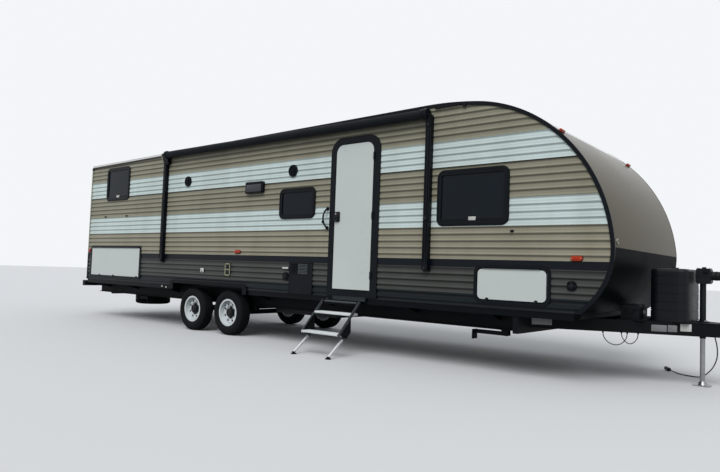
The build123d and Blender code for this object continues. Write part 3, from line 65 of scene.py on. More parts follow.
def mixed(tree, share, first, second, way="MIX"):
    """Two colours mixed, or multiplied, by a share."""
    paints = tree.nodes.new("ShaderNodeMix")
    paints.data_type, paints.blend_type = "RGBA", way
    for index, value in ((0, share), (6, first), (7, second)):
        feed(tree, paints.inputs[index], value)
    return paints.outputs[2]


scene = bpy.context.scene
scene.view_settings.view_transform = "Standard"
scene.world = bpy.data.worlds.new("studio_sky")
scene.world.use_nodes = True
sky = scene.world.node_tree
glow, seen = sky.nodes["Background"], sky.nodes.new("ShaderNodeBackground")
glow.inputs["Color"].default_value = (.93, .96, 1, 1)
glow.inputs["Strength"].default_value = .62
seen.inputs["Color"].default_value = (.90, .92, .94, 1)
rays = sky.nodes.new("ShaderNodeLightPath").outputs
shown = reckon(sky, "MAXIMUM", rays["Is Camera Ray"], rays["Is Transmission Ray"])
shown = reckon(sky, "MAXIMUM", shown, rays["Is Glossy Ray"])
choose = sky.nodes.new("ShaderNodeMixShader")
for socket, value in zip(choose.inputs, (shown, glow.outputs[0], seen.outputs[0])):
    feed(sky, socket, value)
feed(sky, sky.nodes["World Output"].inputs["Surface"], choose.outputs[0])

lamp = bpy.data.lights.new("broad_lamp", "SUN")
lamp.energy = 1.65
lamp.angle = radians(40)
lamp_object = bpy.data.objects.new("broad_lamp", lamp)
lamp_object.rotation_euler = (radians(42), radians(8), radians(14))
scene.collection.objects.link(lamp_object)

ground = bmesh.new()
bmesh.ops.create_grid(ground, x_segments=1, y_segments=1, size=90)
floor_mesh = bpy.data.meshes.new("studio_floor")
ground.to_mesh(floor_mesh)
floor_object = bpy.data.objects.new("studio_floor", floor_mesh)
scene.collection.objects.link(floor_object)
concrete = bpy.data.materials.new("pale_concrete")
concrete.use_nodes = True
stone = concrete.node_tree.nodes["Principled BSDF"]
stone.inputs["Roughness"].default_value = .9
stone.inputs["Specular IOR Level"].default_value = .1
rays = concrete.node_tree.nodes.new("ShaderNodeLightPath").outputs
shown = reckon(concrete.node_tree, "MAXIMUM", rays["Is Camera Ray"], rays["Is Glossy Ray"])
feed(concrete.node_tree, stone.inputs["Base Color"],
     mixed(concrete.node_tree, shown, (.16, .165, .17, 1), (.70, .71, .72, 1)))
floor_mesh.materials.append(concrete)

# Camera: where the photographer stood, beside the rear half, looking forward along the door side.
# Its place and turn come from a fit of the picture's corners to the real width and height.
CAMERA_AT = Vector((1.303, -7.235, 1.062))
YAW, PITCH, ROLL = radians(39.37), radians(2.94), radians(2.05)
FOCUS_PIXELS, FRAME_PIXELS = 616.5, 720
ahead = Vector((-sin(YAW) * cos(PITCH), cos(YAW) * cos(PITCH), sin(PITCH)))
level = Vector((cos(YAW), sin(YAW), 0))
upward = level.cross(ahead)
camera_right = level * cos(ROLL) + upward * sin(ROLL)
camera_up = upward * cos(ROLL) - level * sin(ROLL)
eye = bpy.data.cameras.new("camera")
eye.sensor_width = 36
eye.lens = eye.sensor_width * FOCUS_PIXELS / FRAME_PIXELS
eye.shift_y = .0036
eye.clip_end = 400
camera = bpy.data.objects.new("camera", eye)
camera.matrix_world = Matrix((camera_right, camera_up, -ahead)).transposed().to_4x4()
camera.matrix_world.translation = CAMERA_AT
scene.collection.objects.link(camera)
scene.camera = camera

# Tongue cables: the black seven-core plug lead that hangs to the ground behind the jack,
# and the two brake cables that loop below the door-side tube between their glands.
def linear(*display):
    """A colour read off a display, 0 to 255, as the renderer's linear values."""
    return tuple((c / 255 / 12.92 if c <= 10 else ((c / 255 + .055) / 1.055) ** 2.4) for c in display) + (1,)


def ramp(tree, value, stops, steps="LINEAR"):
    """Colours graded along a value, each stop a position and a colour."""
    graded = tree.nodes.new("ShaderNodeValToRGB")
    graded.color_ramp.interpolation = steps
    for index, (position, colour) in enumerate(stops):
        stop = graded.color_ramp.elements[index] if index < 2 else graded.color_ramp.elements.new(position)
        stop.position, stop.color = position, colour
    feed(tree, graded.inputs["Fac"], value)
    return graded.outputs["Color"]


def mottle(tree, place, size, detail, rough=.5):
    """Cloudy noise in a piece's own space."""
    noise = tree.nodes.new("ShaderNodeTexNoise")
    for name, value in (("Vector", place), ("Scale", size), ("Detail", detail), ("Roughness", rough)):
        feed(tree, noise.inputs[name], value)
    return noise.outputs["Fac"]


def finish(name, display, rough, metal=0.0, drift=.12, spread=2.5, grain=0.0, grain_size=600, shine=.5):
    """A procedural finish: its colour and gloss drift a little, and a fine grain roughens it."""
    material = bpy.data.materials.new(name)
    material.use_nodes = True
    tree = material.node_tree
    shader = tree.nodes["Principled BSDF"]
    place = tree.nodes.new("ShaderNodeTexCoord").outputs["Object"]
    cloud = mottle(tree, place, spread, 8, .62)
    colour = linear(*display)[:3]
    feed(tree, shader.inputs["Base Color"],
         ramp(tree, cloud, ((.3, (*(c * (1 - drift) for c in colour), 1)),
                            (.7, (*(min(1, c * (1 + drift)) for c in colour), 1)))))
    gloss = tree.nodes.new("ShaderNodeMapRange")
    for socket, value in zip(gloss.inputs, (cloud, .3, .7, rough * .88, min(1, rough * 1.12))):
        feed(tree, socket, value)
    feed(tree, shader.inputs["Roughness"], gloss.outputs["Result"])
    shader.inputs["Metallic"].default_value = metal
    shader.inputs["Specular IOR Level"].default_value = shine
    if grain:
        bump = tree.nodes.new("ShaderNodeBump")
        bump.inputs["Strength"].default_value = grain
        bump.inputs["Distance"].default_value = .0006
        feed(tree, bump.inputs["Height"], mottle(tree, place, grain_size, 3))
        feed(tree, shader.inputs["Normal"], bump.outputs["Normal"])
    return material


def repaint(material, *names):
    for name in names:
        node[name].data.materials.clear()
        node[name].data.materials.append(material)


def settle(obj, material, body, slot, *stands_for):
    """Give a new piece its material and its body, and hide the solids that it stands for. Its slot is not
    used.
    """
    scene.collection.objects.link(obj)
    obj.data.materials.append(material)
    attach(obj, body)
    if stands_for:
        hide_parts(*stands_for)


def cable_curve(name, points, diameter):
    """A round cable along points in millimetres."""
    line = bpy.data.curves.new(name, "CURVE")
    line.dimensions = "3D"
    line.bevel_depth = diameter / 2
    line.bevel_resolution = 5
    line.resolution_u = 12
    line.use_fill_caps = True
    route = line.splines.new("NURBS")
    route.points.add(len(points) - 1)
    for point, at in zip(route.points, points):
        point.co = (*(c / 1000 for c in at), 1)
    route.order_u = 3
    route.use_endpoint_u = True
    return bpy.data.objects.new(name, line)


PLUG_CABLE = (
    (88, 45, 645), (88, 45, 575), (100, 57, 505), (116, 78, 430), (118, 108, 355), (108, 150, 280),
    (78, 202, 205), (34, 272, 138), (-20, 358, 82), (-74, 452, 36), (-136, 530, 10), (-206, 568, 6.5),
    (-278, 592, 6.5), (-350, 640, 7), (-418, 704, 12), (-476, 774, 20),
)
BRAKE_LOOPS = (
    ((-826, -573, 515), (-826, -573, 476), (-804, -563, 432), (-766, -546, 394), (-712, -521, 378),
     (-660, -497, 394), (-628, -482, 434), (-611, -475, 478), (-611, -475, 515)),
    ((-667, -479, 515), (-667, -479, 476), (-644, -468, 430), (-606, -450, 396), (-566, -432, 404),
     (-536, -418, 440), (-521, -412, 480), (-521, -412, 515)),
)
cable_jacket = finish("cable_jacket", (28, 29, 31), .55, drift=.2, spread=30, grain=.25)
plug_cable = cable_curve("plug_lead", PLUG_CABLE, .012)
settle(plug_cable, cable_jacket, "caravan", "cable_rubber", "plug_cable")
repaint(cable_jacket, "cable_plug")
for count, points, length in zip("12", BRAKE_LOOPS, (.399, .311)):
    loop = cable_curve("brake_loop_" + count, points, .009)
    settle(loop, cable_jacket, "caravan", "cable_rubber", "brake_cable_loop_" + count)

# Chassis: welded I-beams, crossmembers, outriggers and the skirt, all rolled steel in one coat of
# black paint, dulled in clouds by road dust.
CORNERS = [(row, side, row + place) for row in ("rear", "front") for side,
           place in ((-1, "_door_side"), (1, "_off_side"))]
chassis_black = finish("chassis_black", (13, 17, 19), .6, drift=.3, spread=5, grain=.3, grain_size=240,
                       shine=.1)
repaint(chassis_black, "chassis_rails", "chassis_crossmembers", "tongue_frame", "axles", "leaf_springs",
        "stabiliser_brackets", "coupler", *("stabiliser_leg_" + corner for row, side, corner in CORNERS))
skirt_black = finish("skirt_black", (6, 11, 15), .34, drift=.15, spread=2, shine=.09)
repaint(skirt_black, "skirt_rails")

# Tyres: road tyres on four white wheels and the spare, moulded in black rubber with three grooves
# round the tread, cross slots in the shoulders and raised rings on the walls.
def hang(name, part, material, slot, *stands_for, body="caravan"):
    """Turn a bmesh into a finished piece with smooth faces and crisp edges."""
    mesh = bpy.data.meshes.new(name)
    bmesh.ops.recalc_face_normals(part, faces=part.faces)
    part.to_mesh(mesh)
    part.free()
    mesh.shade_smooth()
    mesh.set_sharp_from_angle(angle=radians(35))
    settle(bpy.data.objects.new(name, mesh), material, body, slot, *stands_for)


def turn(part, angle, axis):
    bmesh.ops.rotate(part, verts=part.verts, cent=(0, 0, 0), matrix=Matrix.Rotation(angle, 3, axis))


def shift(part, by):
    bmesh.ops.translate(part, verts=part.verts, vec=by)


def corner_verts(made):
    """The vertices among what an operator has made."""
    return [v for v in made["geom"] if isinstance(v, bmesh.types.BMVert)]


def spun(profile, steps, closed=False):
    """Sweep a list of radius and offset once round the Y axis."""
    shape = bmesh.new()
    ring = [shape.verts.new((radius, offset, 0)) for radius, offset in profile]
    edges = [shape.edges.new(pair) for pair in zip(ring, ring[1:])]
    if closed:
        edges.append(shape.edges.new((ring[-1], ring[0])))
    bmesh.ops.spin(shape, geom=ring + edges, cent=(0, 0, 0), axis=(0, 1, 0), angle=2 * pi, steps=steps,
                   use_merge=True)
    bmesh.ops.remove_doubles(shape, verts=shape.verts, dist=1e-5)
    return shape


REAR = -10.55  # the rear wall; places along the body are given as stations, in metres from it
WHEEL_RADIUS, WHEEL_OUT = .344, 1.0775
AXLES_AT = {"rear": 3.4 + REAR, "front": 4.3 + REAR}
TREAD_STEPS, SLOT_EVERY, SLOT_DEEP = 132, 3, .006
SLOTS_BEYOND, SLOTS_INNER, SLOTS_OUTER = .329, .056, .083
TYRE_SECTION = (
    (.1903, .0757), (.2075, .0757), (.2090, .0840), (.2140, .0872), (.2160, .0893), (.2190, .0890), (.2250,
                                                                                                     .0925),
    (.2400, .0985), (.2550, .1016), (.2640, .1024), (.2760, .1024), (.2772, .1035), (.2812, .1035), (.2824,
                                                                                                     .1016),
    (.2960, .0998), (.3100, .0945), (.3190, .0890), (.3260, .0845), (.3345, .0800), (.3395, .0715), (.3410,
                                                                                                     .0560),
    (.3330, .0540), (.3330, .0480), (.3418, .0460), (.3432, .0230), (.3350, .0210), (.3350, .0060), (.3440,
                                                                                                     .0040),
)


def road_tyre():
    shape = spun([*TYRE_SECTION, *((r, -y) for r, y in reversed(TYRE_SECTION))], TREAD_STEPS, closed=True)
    slots = []
    for face in shape.faces:
        at = face.calc_center_median()
        step = round((atan2(at.z, at.x) / (2 * pi) % 1) * TREAD_STEPS - .5)
        on_shoulder = hypot(at.x, at.z) > SLOTS_BEYOND and SLOTS_INNER < abs(at.y) < SLOTS_OUTER
        if on_shoulder and step % SLOT_EVERY == 0:
            slots.append(face)
    for vert in corner_verts(bmesh.ops.extrude_face_region(shape, geom=slots)):
        vert.co += Vector((-vert.co.x, 0, -vert.co.z)).normalized() * SLOT_DEEP
    bmesh.ops.delete(shape, geom=slots, context="FACES")
    return shape


tyre_rubber = finish("tyre_rubber", (22, 24, 26), .85, drift=.18, spread=12, grain=.6, grain_size=500,
                     shine=.12)
for row, side, corner in CORNERS:
    tyre = road_tyre()
    shift(tyre, (AXLES_AT[row], side * WHEEL_OUT, WHEEL_RADIUS))
    hang("road_tyre_" + corner, tyre, tyre_rubber, "tyre_rubber", "tyre_" + corner, body="wheel_" + corner)
SPARE_AT = (.43 + REAR, 0, .3325)
spare = road_tyre()
turn(spare, pi / 2, "X")
shift(spare, SPARE_AT)
hang("spare_road_tyre", spare, tyre_rubber, "tyre_rubber", "spare_wheel")

# Wheels: white powder-coated steel discs pressed from sheet. Each has a black grease cap over the
# hub, wheel nuts close round it painted near black as painted shade over their bright metal, a thin
# black disc behind it that stands for the brake backing plate and is also painted shade inside the
# wheel, so that the holes read dark, and a rubber valve stem.
wheel_white = finish("wheel_white", (216, 222, 224), .3, drift=.05, spread=6)
repaint(wheel_white, *("rim_" + corner for row, side, corner in CORNERS))
hub_black = finish("hub_black", (17, 18, 20), .4, drift=.15, spread=20, shine=.2)
bright_plate = finish("bright_plate", (190, 192, 196), .2, metal=1, drift=.06, spread=30)
# wheel nuts painted near black: painted shade of the wheel well over their bright metal
shaded_nut_black = finish("shaded_nut_black", (24, 25, 27), .35, drift=.15, spread=30, shine=.3)
GREASE_CAP = ((0, .0650), (.020, .0650), (.024, .0675), (.036, .0675), (.040, .0645), (.0590, .0610),
              (.0640, .0560),
              (.0680, .0340), (.0690, .0060), (.0715, .0050), (.0715, .0020))
# a thin black disc just behind each wheel: a brake backing plate, run out wide as painted shade seen through
# the holes
SHADED_BACKING = ((.0600, -.0030), (.1290, -.0030), (.1560, -.0100), (.1560, -.0120), (.0600, -.0050))
NUTS, NUT_CIRCLE, NUT_FOOT = 6, .0780, .0045
NUT_STEPS = ((.0105, .0300, 6), (.0085, .0380, 12),
             (.0150, .0070, 20))  # radius, height and sides of each step
for row, side, corner in CORNERS:
    cap, nuts, backing_disc, valve = spun(GREASE_CAP, 48), bmesh.new(), spun(SHADED_BACKING, 48, closed=True), bmesh.new()
    for index in range(NUTS):
        way = 2 * pi / NUTS * (index + .5)
        at = Vector((NUT_CIRCLE * cos(way), NUT_FOOT, NUT_CIRCLE * sin(way)))
        for radius, top, sides in NUT_STEPS:
            place = Matrix.Translation(at + Vector((0, top / 2, 0))) @ Matrix.Rotation(-pi / 2, 4, "X")
            bmesh.ops.create_cone(nuts, cap_ends=True, segments=sides, radius1=radius, radius2=radius * .92,
                                  depth=top, matrix=place)
    stem = Matrix.Translation((.128, .030, .096)) @ Matrix.Rotation(-pi / 2.3, 4, "X")
    bmesh.ops.create_cone(valve, cap_ends=True, segments=12, radius1=.0065, radius2=.0048, depth=.038,
                          matrix=stem)
    for shape, name, material in ((cap, "grease_cap_", hub_black), (nuts, "wheel_nuts_", shaded_nut_black),
                                  (backing_disc, "shaded_backing_", chassis_black), (valve, "valve_stem_", hub_black)):
        if side < 0:
            turn(shape, pi, "Z")
        shift(shape, (AXLES_AT[row], side * WHEEL_OUT, WHEEL_RADIUS))
        hang(name + corner, shape, material, "rim_paint", body="wheel_" + corner)

# Sides: rolled aluminium sheet in level bands of tan, white and charcoal, split by a near-black belt.
# Each band's upper edge is a lap with a thin painted shadow line under it, and painted shade darkens
# each rib from a painted highlight just above its groove up to the next groove.
BELT_FOOT, BELT_TOP, BAND_TOP, RIB_PITCH = 1.130, 1.217, 3.2, .076
TAN, LOWER_TAN, WHITE = linear(166, 163, 143), linear(175, 170, 150), linear(226, 242, 240)
# LAP_SHADOW is the colour of the painted shadow line under each lap
CHARCOAL, BELT, FOOT, LAP_SHADOW = linear(88, 90, 87), linear(8, 15, 23), linear(24, 34, 39), linear(62, 60, 54)
# the height where each band begins, its colour, and how strongly the painted shade of the ribs shows;
# the thin LAP_SHADOW bands are painted shadow lines under the laps
BANDS = ((0, FOOT, 1), (.845, CHARCOAL, 1), (BELT_FOOT, BELT, 0), (BELT_TOP, LOWER_TAN, .78), (1.577, LAP_SHADOW, 0),
         (1.581, WHITE, .48), (1.881, LAP_SHADOW, 0), (1.885, TAN, .78), (2.261, LAP_SHADOW, 0), (2.265, WHITE, .48),
         (2.565, LAP_SHADOW, 0), (2.569, TAN, .78))
# how far up a rib, and how much of the colour shows there under the painted shade: brightest just
# above each groove, darker up towards the next
RIB_SHADE = ((0, .36), (.06, .72), (.12, 1), (.20, 1), (.36, .82), (.52, .62), (.66, .44), (.78, .33),
            (.88, .22),
            (.95, .22), (1, .36))
UPPER_RIBS = .451  # how much the ribs above the belt are set off from those below


def banded_sheet(name):
    """The sheet's paint: its bands by height, weathered in clouds, with painted shade and highlight across
    the ribs.
    """
    material = finish(name, (226, 242, 240), .4, drift=.04, spread=1.3, shine=.16)
    tree = material.node_tree
    place = tree.nodes.new("ShaderNodeTexCoord").outputs["Object"]
    axes, stretch = tree.nodes.new("ShaderNodeSeparateXYZ"), tree.nodes.new("ShaderNodeMapping")
    feed(tree, axes.inputs[0], place)
    height = axes.outputs["Z"]
    share = reckon(tree, "DIVIDE", height, BAND_TOP)
    bands = ramp(tree, share, [(z / BAND_TOP, colour) for z, colour, rib_shading in BANDS], "CONSTANT")
    rib_shading_share = ramp(tree, share, [(z / BAND_TOP, (rib_shading,) * 3 + (1,)) for z, colour, rib_shading in BANDS],
                     "CONSTANT")
    stretch.inputs["Scale"].default_value = (2.2, 2.2, .5)
    feed(tree, stretch.inputs["Vector"], place)
    grey = ramp(tree, mottle(tree, stretch.outputs[0], 1.7, 7),
                ((.35, (.72, .70, .66, 1)), (.62, (1, 1, 1, 1))))
    weathered = mixed(tree, .35, bands, grey, "MULTIPLY")
    # the first rib lies far below the ground, so that the count of ribs never falls under nought
    first = reckon(tree, "MULTIPLY_ADD", reckon(tree, "GREATER_THAN", height, BELT_TOP), UPPER_RIBS,
                   BELT_FOOT - 50 * RIB_PITCH)
    ribs = reckon(tree, "DIVIDE", reckon(tree, "SUBTRACT", height, first), RIB_PITCH)
    # painted shade and highlight across every rib, standing for how light falls on its slopes
    rib_shade = ramp(tree, reckon(tree, "FRACT", ribs), [(at, (shade,) * 3 + (1,)) for at, shade in RIB_SHADE])
    feed(tree, tree.nodes["Principled BSDF"].inputs["Base Color"],
         mixed(tree, rib_shading_share, weathered, rib_shade, "MULTIPLY"))
    return material


repaint(banded_sheet("side_sheet"), "siding_door_side", "siding_off_side", "rear_wall")

# Front: two moulded plastic panels, glossy bronze above and satin black below, lightly orange-peeled.
# A black steel apron runs along their foot, and one round fitting sits in the door-side edge.
def ease(part, edges, edge):
    """Round a part's edges a little."""
    bmesh.ops.bevel(part, geom=edges, offset=edge, offset_type="OFFSET", segments=2, profile=.5,
                    affect="EDGES", material=-1)


def draw_out(part, by):
    """Draw a flat part out into a solid."""
    drawn = bmesh.ops.extrude_face_region(part, geom=part.faces[:])
    bmesh.ops.translate(part, vec=by, verts=corner_verts(drawn))
    bmesh.ops.recalc_face_normals(part, faces=part.faces)


def plaque(wide, high, radius, thick, edge=.0, hollow=.0):
    """A plate with round corners, lying in X and Y and standing up in Z; hollow leaves only its rim."""
    part = bmesh.new()
    bmesh.ops.create_grid(part, x_segments=1, y_segments=1, size=.5)
    bmesh.ops.scale(part, vec=(wide, high, 1), verts=part.verts)
    if radius:
        bmesh.ops.bevel(part, geom=part.verts[:], offset=radius, offset_type="OFFSET", segments=7, profile=.5,
                        affect="VERTICES", material=-1)
    if hollow:
        rim = bmesh.ops.inset_individual(part, faces=part.faces[:], thickness=hollow,
                                         use_even_offset=True)["faces"]
        bmesh.ops.delete(part, geom=[face for face in part.faces if face not in rim], context="FACES_ONLY")
    draw_out(part, (0, 0, thick))
    if edge:
        upper = [e for e in part.edges if min(v.co.z for v in e.verts) > thick * .99]
        ease(part, [e for e in upper if e.calc_face_angle(0) > 1], edge)
    return part


def put(shape, part, at=(0, 0, 0), across=(1, 0, 0), up=(0, 1, 0), out=(0, 0, 1)):
    """Add a part to a piece, with its X along across, its Y along up and its Z along out."""
    way = Matrix((Vector(across).normalized(), Vector(up).normalized(),
                  Vector(out).normalized())).transposed()
    bmesh.ops.transform(part, matrix=Matrix.Translation(at) @ way.to_4x4(), verts=part.verts)
    carrier = bpy.data.meshes.new("carrier")
    part.to_mesh(carrier)
    part.free()
    shape.from_mesh(carrier)
    bpy.data.meshes.remove(carrier)


def block(size, edge=0.0):
    """A block about the origin, with its edges eased."""
    part = bmesh.new()
    bmesh.ops.create_cube(part, size=1)
    bmesh.ops.scale(part, vec=size, verts=part.verts)
    if edge:
        ease(part, part.edges[:], edge)
    return part


def brick(shape, low, high, edge=0.0):
    """A block between two corners."""
    low, high = Vector(low), Vector(high)
    put(shape, block(high - low, edge), (low + high) / 2)


cap_bronze = finish("cap_bronze", (80, 72, 51), .18, drift=.06, spread=1.2, grain=.05, grain_size=90,
                    shine=.03)
cap_black = finish("cap_black", (5, 10, 11), .42, drift=.1, spread=1.2, grain=.05, grain_size=90, shine=.008)
repaint(cap_bronze, "front_panel_upper")
repaint(cap_black, "front_panel_lower")
apron = bmesh.new()
brick(apron, (9.664 + REAR, -1.10, .6525), (9.674 + REAR, 1.10, .7095), .001)
hang("front_apron", apron, chassis_black, "chassis_paint")
cap_fitting, fitting_core = bmesh.new(), bmesh.new()
CAP_POINT, CAP_OUT = Vector((10.0278 + REAR, -1.139, 1.424)), Vector((.993, 0, .114))
cap_frame = (CAP_POINT, (0, 1, 0), CAP_OUT.cross((0, 1, 0)), CAP_OUT)
put(cap_fitting, plaque(.062, .062, .0306, .007, .002, .012), *cap_frame)
put(fitting_core, plaque(.042, .042, .0206, .005, .001), *cap_frame)
fitting_chrome = finish("fitting_chrome", (150, 150, 140), .3, metal=.6, drift=.1, spread=30)
hang("cap_fitting_ring", cap_fitting, fitting_chrome, "fitting_plastic")
hang("cap_fitting_core", fitting_core, hub_black, "fitting_plastic")

# Shell: light framed wall panels of pale board, a plywood floor on the rails, dark underneath where
# it is sealed, and a roof of white rubber sheet glued down over the boards.
wall_board = finish("wall_board", (188, 176, 158), .6, drift=.1, spread=4, grain=.3)
roof_rubber = finish("roof_rubber", (222, 224, 222), .6, drift=.07, spread=2, grain=.3, grain_size=300)
repaint(wall_board, "wall_door_side", "wall_off_side")
repaint(roof_rubber, "roof")


def part_painted(material, display, *limits):
    """Paint the part of a piece that is past every limit, each an axis, a test and a place in metres."""
    tree = material.node_tree
    base = tree.nodes["Principled BSDF"].inputs["Base Color"]
    axes = tree.nodes.new("ShaderNodeSeparateXYZ")
    feed(tree, axes.inputs[0], tree.nodes.new("ShaderNodeTexCoord").outputs["Object"])
    inside = 1
    for axis, test, limit in limits:
        inside = reckon(tree, "MULTIPLY", inside, reckon(tree, test, axes.outputs[axis], limit))
    feed(tree, base, mixed(tree, inside, base.links[0].from_socket, linear(*display)))
    return material


FLOOR_SEALED = .712
floor_board = finish("floor_board", (188, 176, 158), .6, drift=.1, spread=4, grain=.3)
repaint(part_painted(floor_board, (12, 14, 15), ("Z", "LESS_THAN", FLOOR_SEALED)), "floor")

# Trim: frames, rails and mouldings of black painted aluminium, screwed on, with tan paint on the
# mouldings of the rear corners. The covers on the tongue are black moulded plastic with a grained
# face, and the jack's leg is a zinc-plated tube.
trim_black = finish("trim_black", (11, 16, 22), .35, drift=.15, spread=3, shine=.12)
repaint(trim_black, "window_frames", "entry_door_frame", "baggage_frames", "awning_arms", "grab_handle")
moulding_paint = finish("moulding_paint", (11, 16, 22), .35, drift=.15, spread=3, shine=.12)
REAR_MOULDINGS, TAN_TOP = REAR + .06, 2.93
repaint(part_painted(moulding_paint, (150, 149, 134), ("X", "LESS_THAN", REAR_MOULDINGS),
                     ("Z", "GREATER_THAN", BELT_TOP), ("Z", "LESS_THAN", TAN_TOP)), "edge_mouldings")
cover_black = finish("cover_black", (13, 17, 21), .45, drift=.15, spread=5, grain=.5, grain_size=350,
                     shine=.2)
repaint(cover_black, "gas_bottle_cover", "battery_box", "holding_tank", "jack_body")
zinc = finish("zinc", (150, 152, 155), .38, metal=1, drift=.12, spread=12, grain=.2)
repaint(zinc, "jack_leg")

# Windows: clamp-ring windows with a black frame screwed through the wall, a rubber-set dark pane,
# and a sliding or hinged-out sash with its slim bars, weep slots and pull.
SKIN = 1.219  # how far the sheet of each side stands from the middle


def on_side(shape, part, side, station, z, out=SKIN):
    """Add a part to a piece on a side, as far out from the middle as out says."""
    put(shape, part, (station + REAR, side * out, z), up=(0, 0, 1), out=(0, side, 0))


def stick(shape, start, end, radius, sides=16, end_radius=None):
    """A round bar between two points."""
    start, end = Vector(start), Vector(end)
    way = (end - start).to_track_quat("Z", "Y").to_matrix().to_4x4()
    bmesh.ops.create_cone(shape, cap_ends=True, segments=sides, radius1=radius,
                          radius2=radius if end_radius is None else end_radius, depth=(end - start).length,
                          matrix=Matrix.Translation((start + end) / 2) @ way)


# side, first and last station, low and high edge, sash: "slide" has an upright bar, "hinge" a low one
WINDOWS = (
    (-1, .600, 1.400, 2.207, 2.830, "hinge"), (-1, 5.420, 6.118, 1.745, 2.170, "fixed"),
    (-1, 8.048, 8.940, 1.600, 2.235, "hinge"), (1, .600, 1.400, 2.207, 2.830, "hinge"),
    (1, 4.200, 5.700, 1.600, 2.235, "slide"), (1, 8.048, 8.940, 1.600, 2.235, "hinge"),
)
FRAME_BAND, PANE_OUT = .056, SKIN - .002
tinted_glass = finish("tinted_glass", (14, 24, 33), .05, drift=.1, spread=1, shine=.14)
repaint(tinted_glass, "window_glass")
sashes, pulls, gaskets = bmesh.new(), bmesh.new(), bmesh.new()
for side, x0, x1, z0, z1, kind in WINDOWS:
    middle, centre = (x0 + x1) / 2, (z0 + z1) / 2
    wide, high = x1 - x0 - 2 * FRAME_BAND, z1 - z0 - 2 * FRAME_BAND
    on_side(gaskets, plaque(x1 - x0 + .008, z1 - z0 + .008, .089, .005, hollow=.03), side, middle, centre)
    on_side(sashes, plaque(wide + .004, high + .004, .030, .009, .002, .007), side, middle, centre, PANE_OUT)
    on_side(sashes, plaque(x1 - x0 - .03, z1 - z0 - .03, .071, .0035, .0015, .010), side, middle, centre,
            SKIN + .014)
    if kind == "slide":
        on_side(sashes, plaque(.026, high, 0, .010, .002), side, middle + .01, centre, PANE_OUT)
        on_side(pulls, plaque(.012, .060, .004, .008, .002), side, middle - .018, centre, PANE_OUT)
    if kind == "hinge":
        on_side(sashes, plaque(wide, .020, 0, .010, .002), side, middle, z0 + FRAME_BAND + .014, PANE_OUT)
        on_side(pulls, plaque(.090, .042, .005, .014, .003), side, middle + .012, z0 + FRAME_BAND + .020,
                PANE_OUT)
    for share in (.25, .75):
        on_side(sashes, plaque(.034, .007, .003, .003, .001), side, x0 + (x1 - x0) * share, z0 + .014,
                SKIN + .0135)
rubber_black = finish("rubber_black", (15, 17, 19), .7, drift=.1, spread=10, grain=.2, shine=.12)
pale_pull = finish("pale_pull", (196, 198, 190), .45, drift=.05, spread=30)
hang("window_sashes", sashes, trim_black, "trim_black")
hang("window_pulls", pulls, pale_pull, "fitting_plastic")
hang("window_gaskets", gaskets, rubber_black, "trim_black")

# Entry door: a white laminated leaf in a black frame, with a rubber seal round it, black hinges
# on its front edge and a black lock with a paddle and two key cylinders.
def upright(wide, high, corner, foot_corner, thick, hollow):
    """A flat ring with wide corners at the top and small ones at the foot."""
    ring = []
    for across, up, radius, start in ((1, 1, corner, 0), (-1, 1, corner, 90),
                                      (-1, -1, foot_corner, 180), (1, -1, foot_corner, 270)):
        for step in range(9):
            way = radians(start + 90 * step / 8)
            ring.append((across, up, radius, max(radius - hollow, .001), cos(way), sin(way)))
    part = bmesh.new()
    outer = [part.verts.new((across * (wide / 2 - r) + r * x, up * (high / 2 - r) + r * y, 0))
             for across, up, r, small, x, y in ring]
    wide, high = wide - 2 * hollow, high - 2 * hollow
    inner = [part.verts.new((across * (wide / 2 - r) + r * x, up * (high / 2 - r) + r * y, 0))
             for across, up, large, r, x, y in ring]
    for index in range(len(ring)):
        after = (index + 1) % len(ring)
        part.faces.new((outer[index], outer[after], inner[after], inner[index]))
    draw_out(part, (0, 0, thick))
    return part


door_white = finish("door_white", (206, 214, 210), .3, drift=.03, spread=1)
repaint(door_white, "entry_door", "baggage_door_rear", "baggage_door_front", "baggage_door_off_side")
DOOR_LOW, DOOR_HIGH, LEAF_OUT = Vector((6.470, .800)), Vector((7.115, 2.700)), SKIN + .009
door_middle = (DOOR_LOW + DOOR_HIGH) / 2
door_size = DOOR_HIGH - DOOR_LOW
seal, edge_trim, lock, cylinders, hinges = (bmesh.new() for _ in range(5))
on_side(seal, upright(door_size.x + .002, door_size.y + .002, .121, .017, .004, .011), -1, *door_middle,
        SKIN + .0045)
on_side(edge_trim, upright(door_size.x - .010, door_size.y - .010, .115, .011, .0022, .009), -1, *door_middle,
        LEAF_OUT)
LOCK_AT = (6.525, 1.747)
on_side(lock, plaque(.098, .134, .014, .014, .004), -1, *LOCK_AT, LEAF_OUT)
on_side(lock, plaque(.080, .050, .008, .036, .006), -1, LOCK_AT[0], LOCK_AT[1] - .030, LEAF_OUT)
on_side(lock, plaque(.066, .030, .010, .041, .006), -1, LOCK_AT[0] + .003, LOCK_AT[1] - .008, LEAF_OUT)
for drop in (.038, -.050):
    on_side(cylinders, plaque(.019, .019, .0094, .004, .001), -1, LOCK_AT[0] - .012, LOCK_AT[1] + drop,
            LEAF_OUT + .013)
    on_side(cylinders, plaque(.0022, .011, 0, .0006), -1, LOCK_AT[0] - .012, LOCK_AT[1] + drop,
            LEAF_OUT + .017)
HINGE_OUT, HINGE_STATION = SKIN + .0183, 7.125
for z in (1.000, 1.750, 2.500):
    at = (HINGE_STATION + REAR, -HINGE_OUT, z)
    stick(hinges, (at[0], at[1], z - .047), (at[0], at[1], z + .047), .0068)
    brick(hinges, (7.1005 + REAR, -LEAF_OUT - .0130, z - .0455),
          (7.1215 + REAR, -LEAF_OUT + .0002, z + .0455), .001)
hang("door_seal", seal, rubber_black, "trim_black")
hang("door_edge_trim", edge_trim, trim_black, "trim_black", body="entry_door")
hang("door_lock", lock, cover_black, "trim_black", body="entry_door")
hang("door_lock_cylinders", cylinders, bright_plate, "chassis_paint", body="entry_door")
hang("door_hinges", hinges, trim_black, "trim_black", body="entry_door")

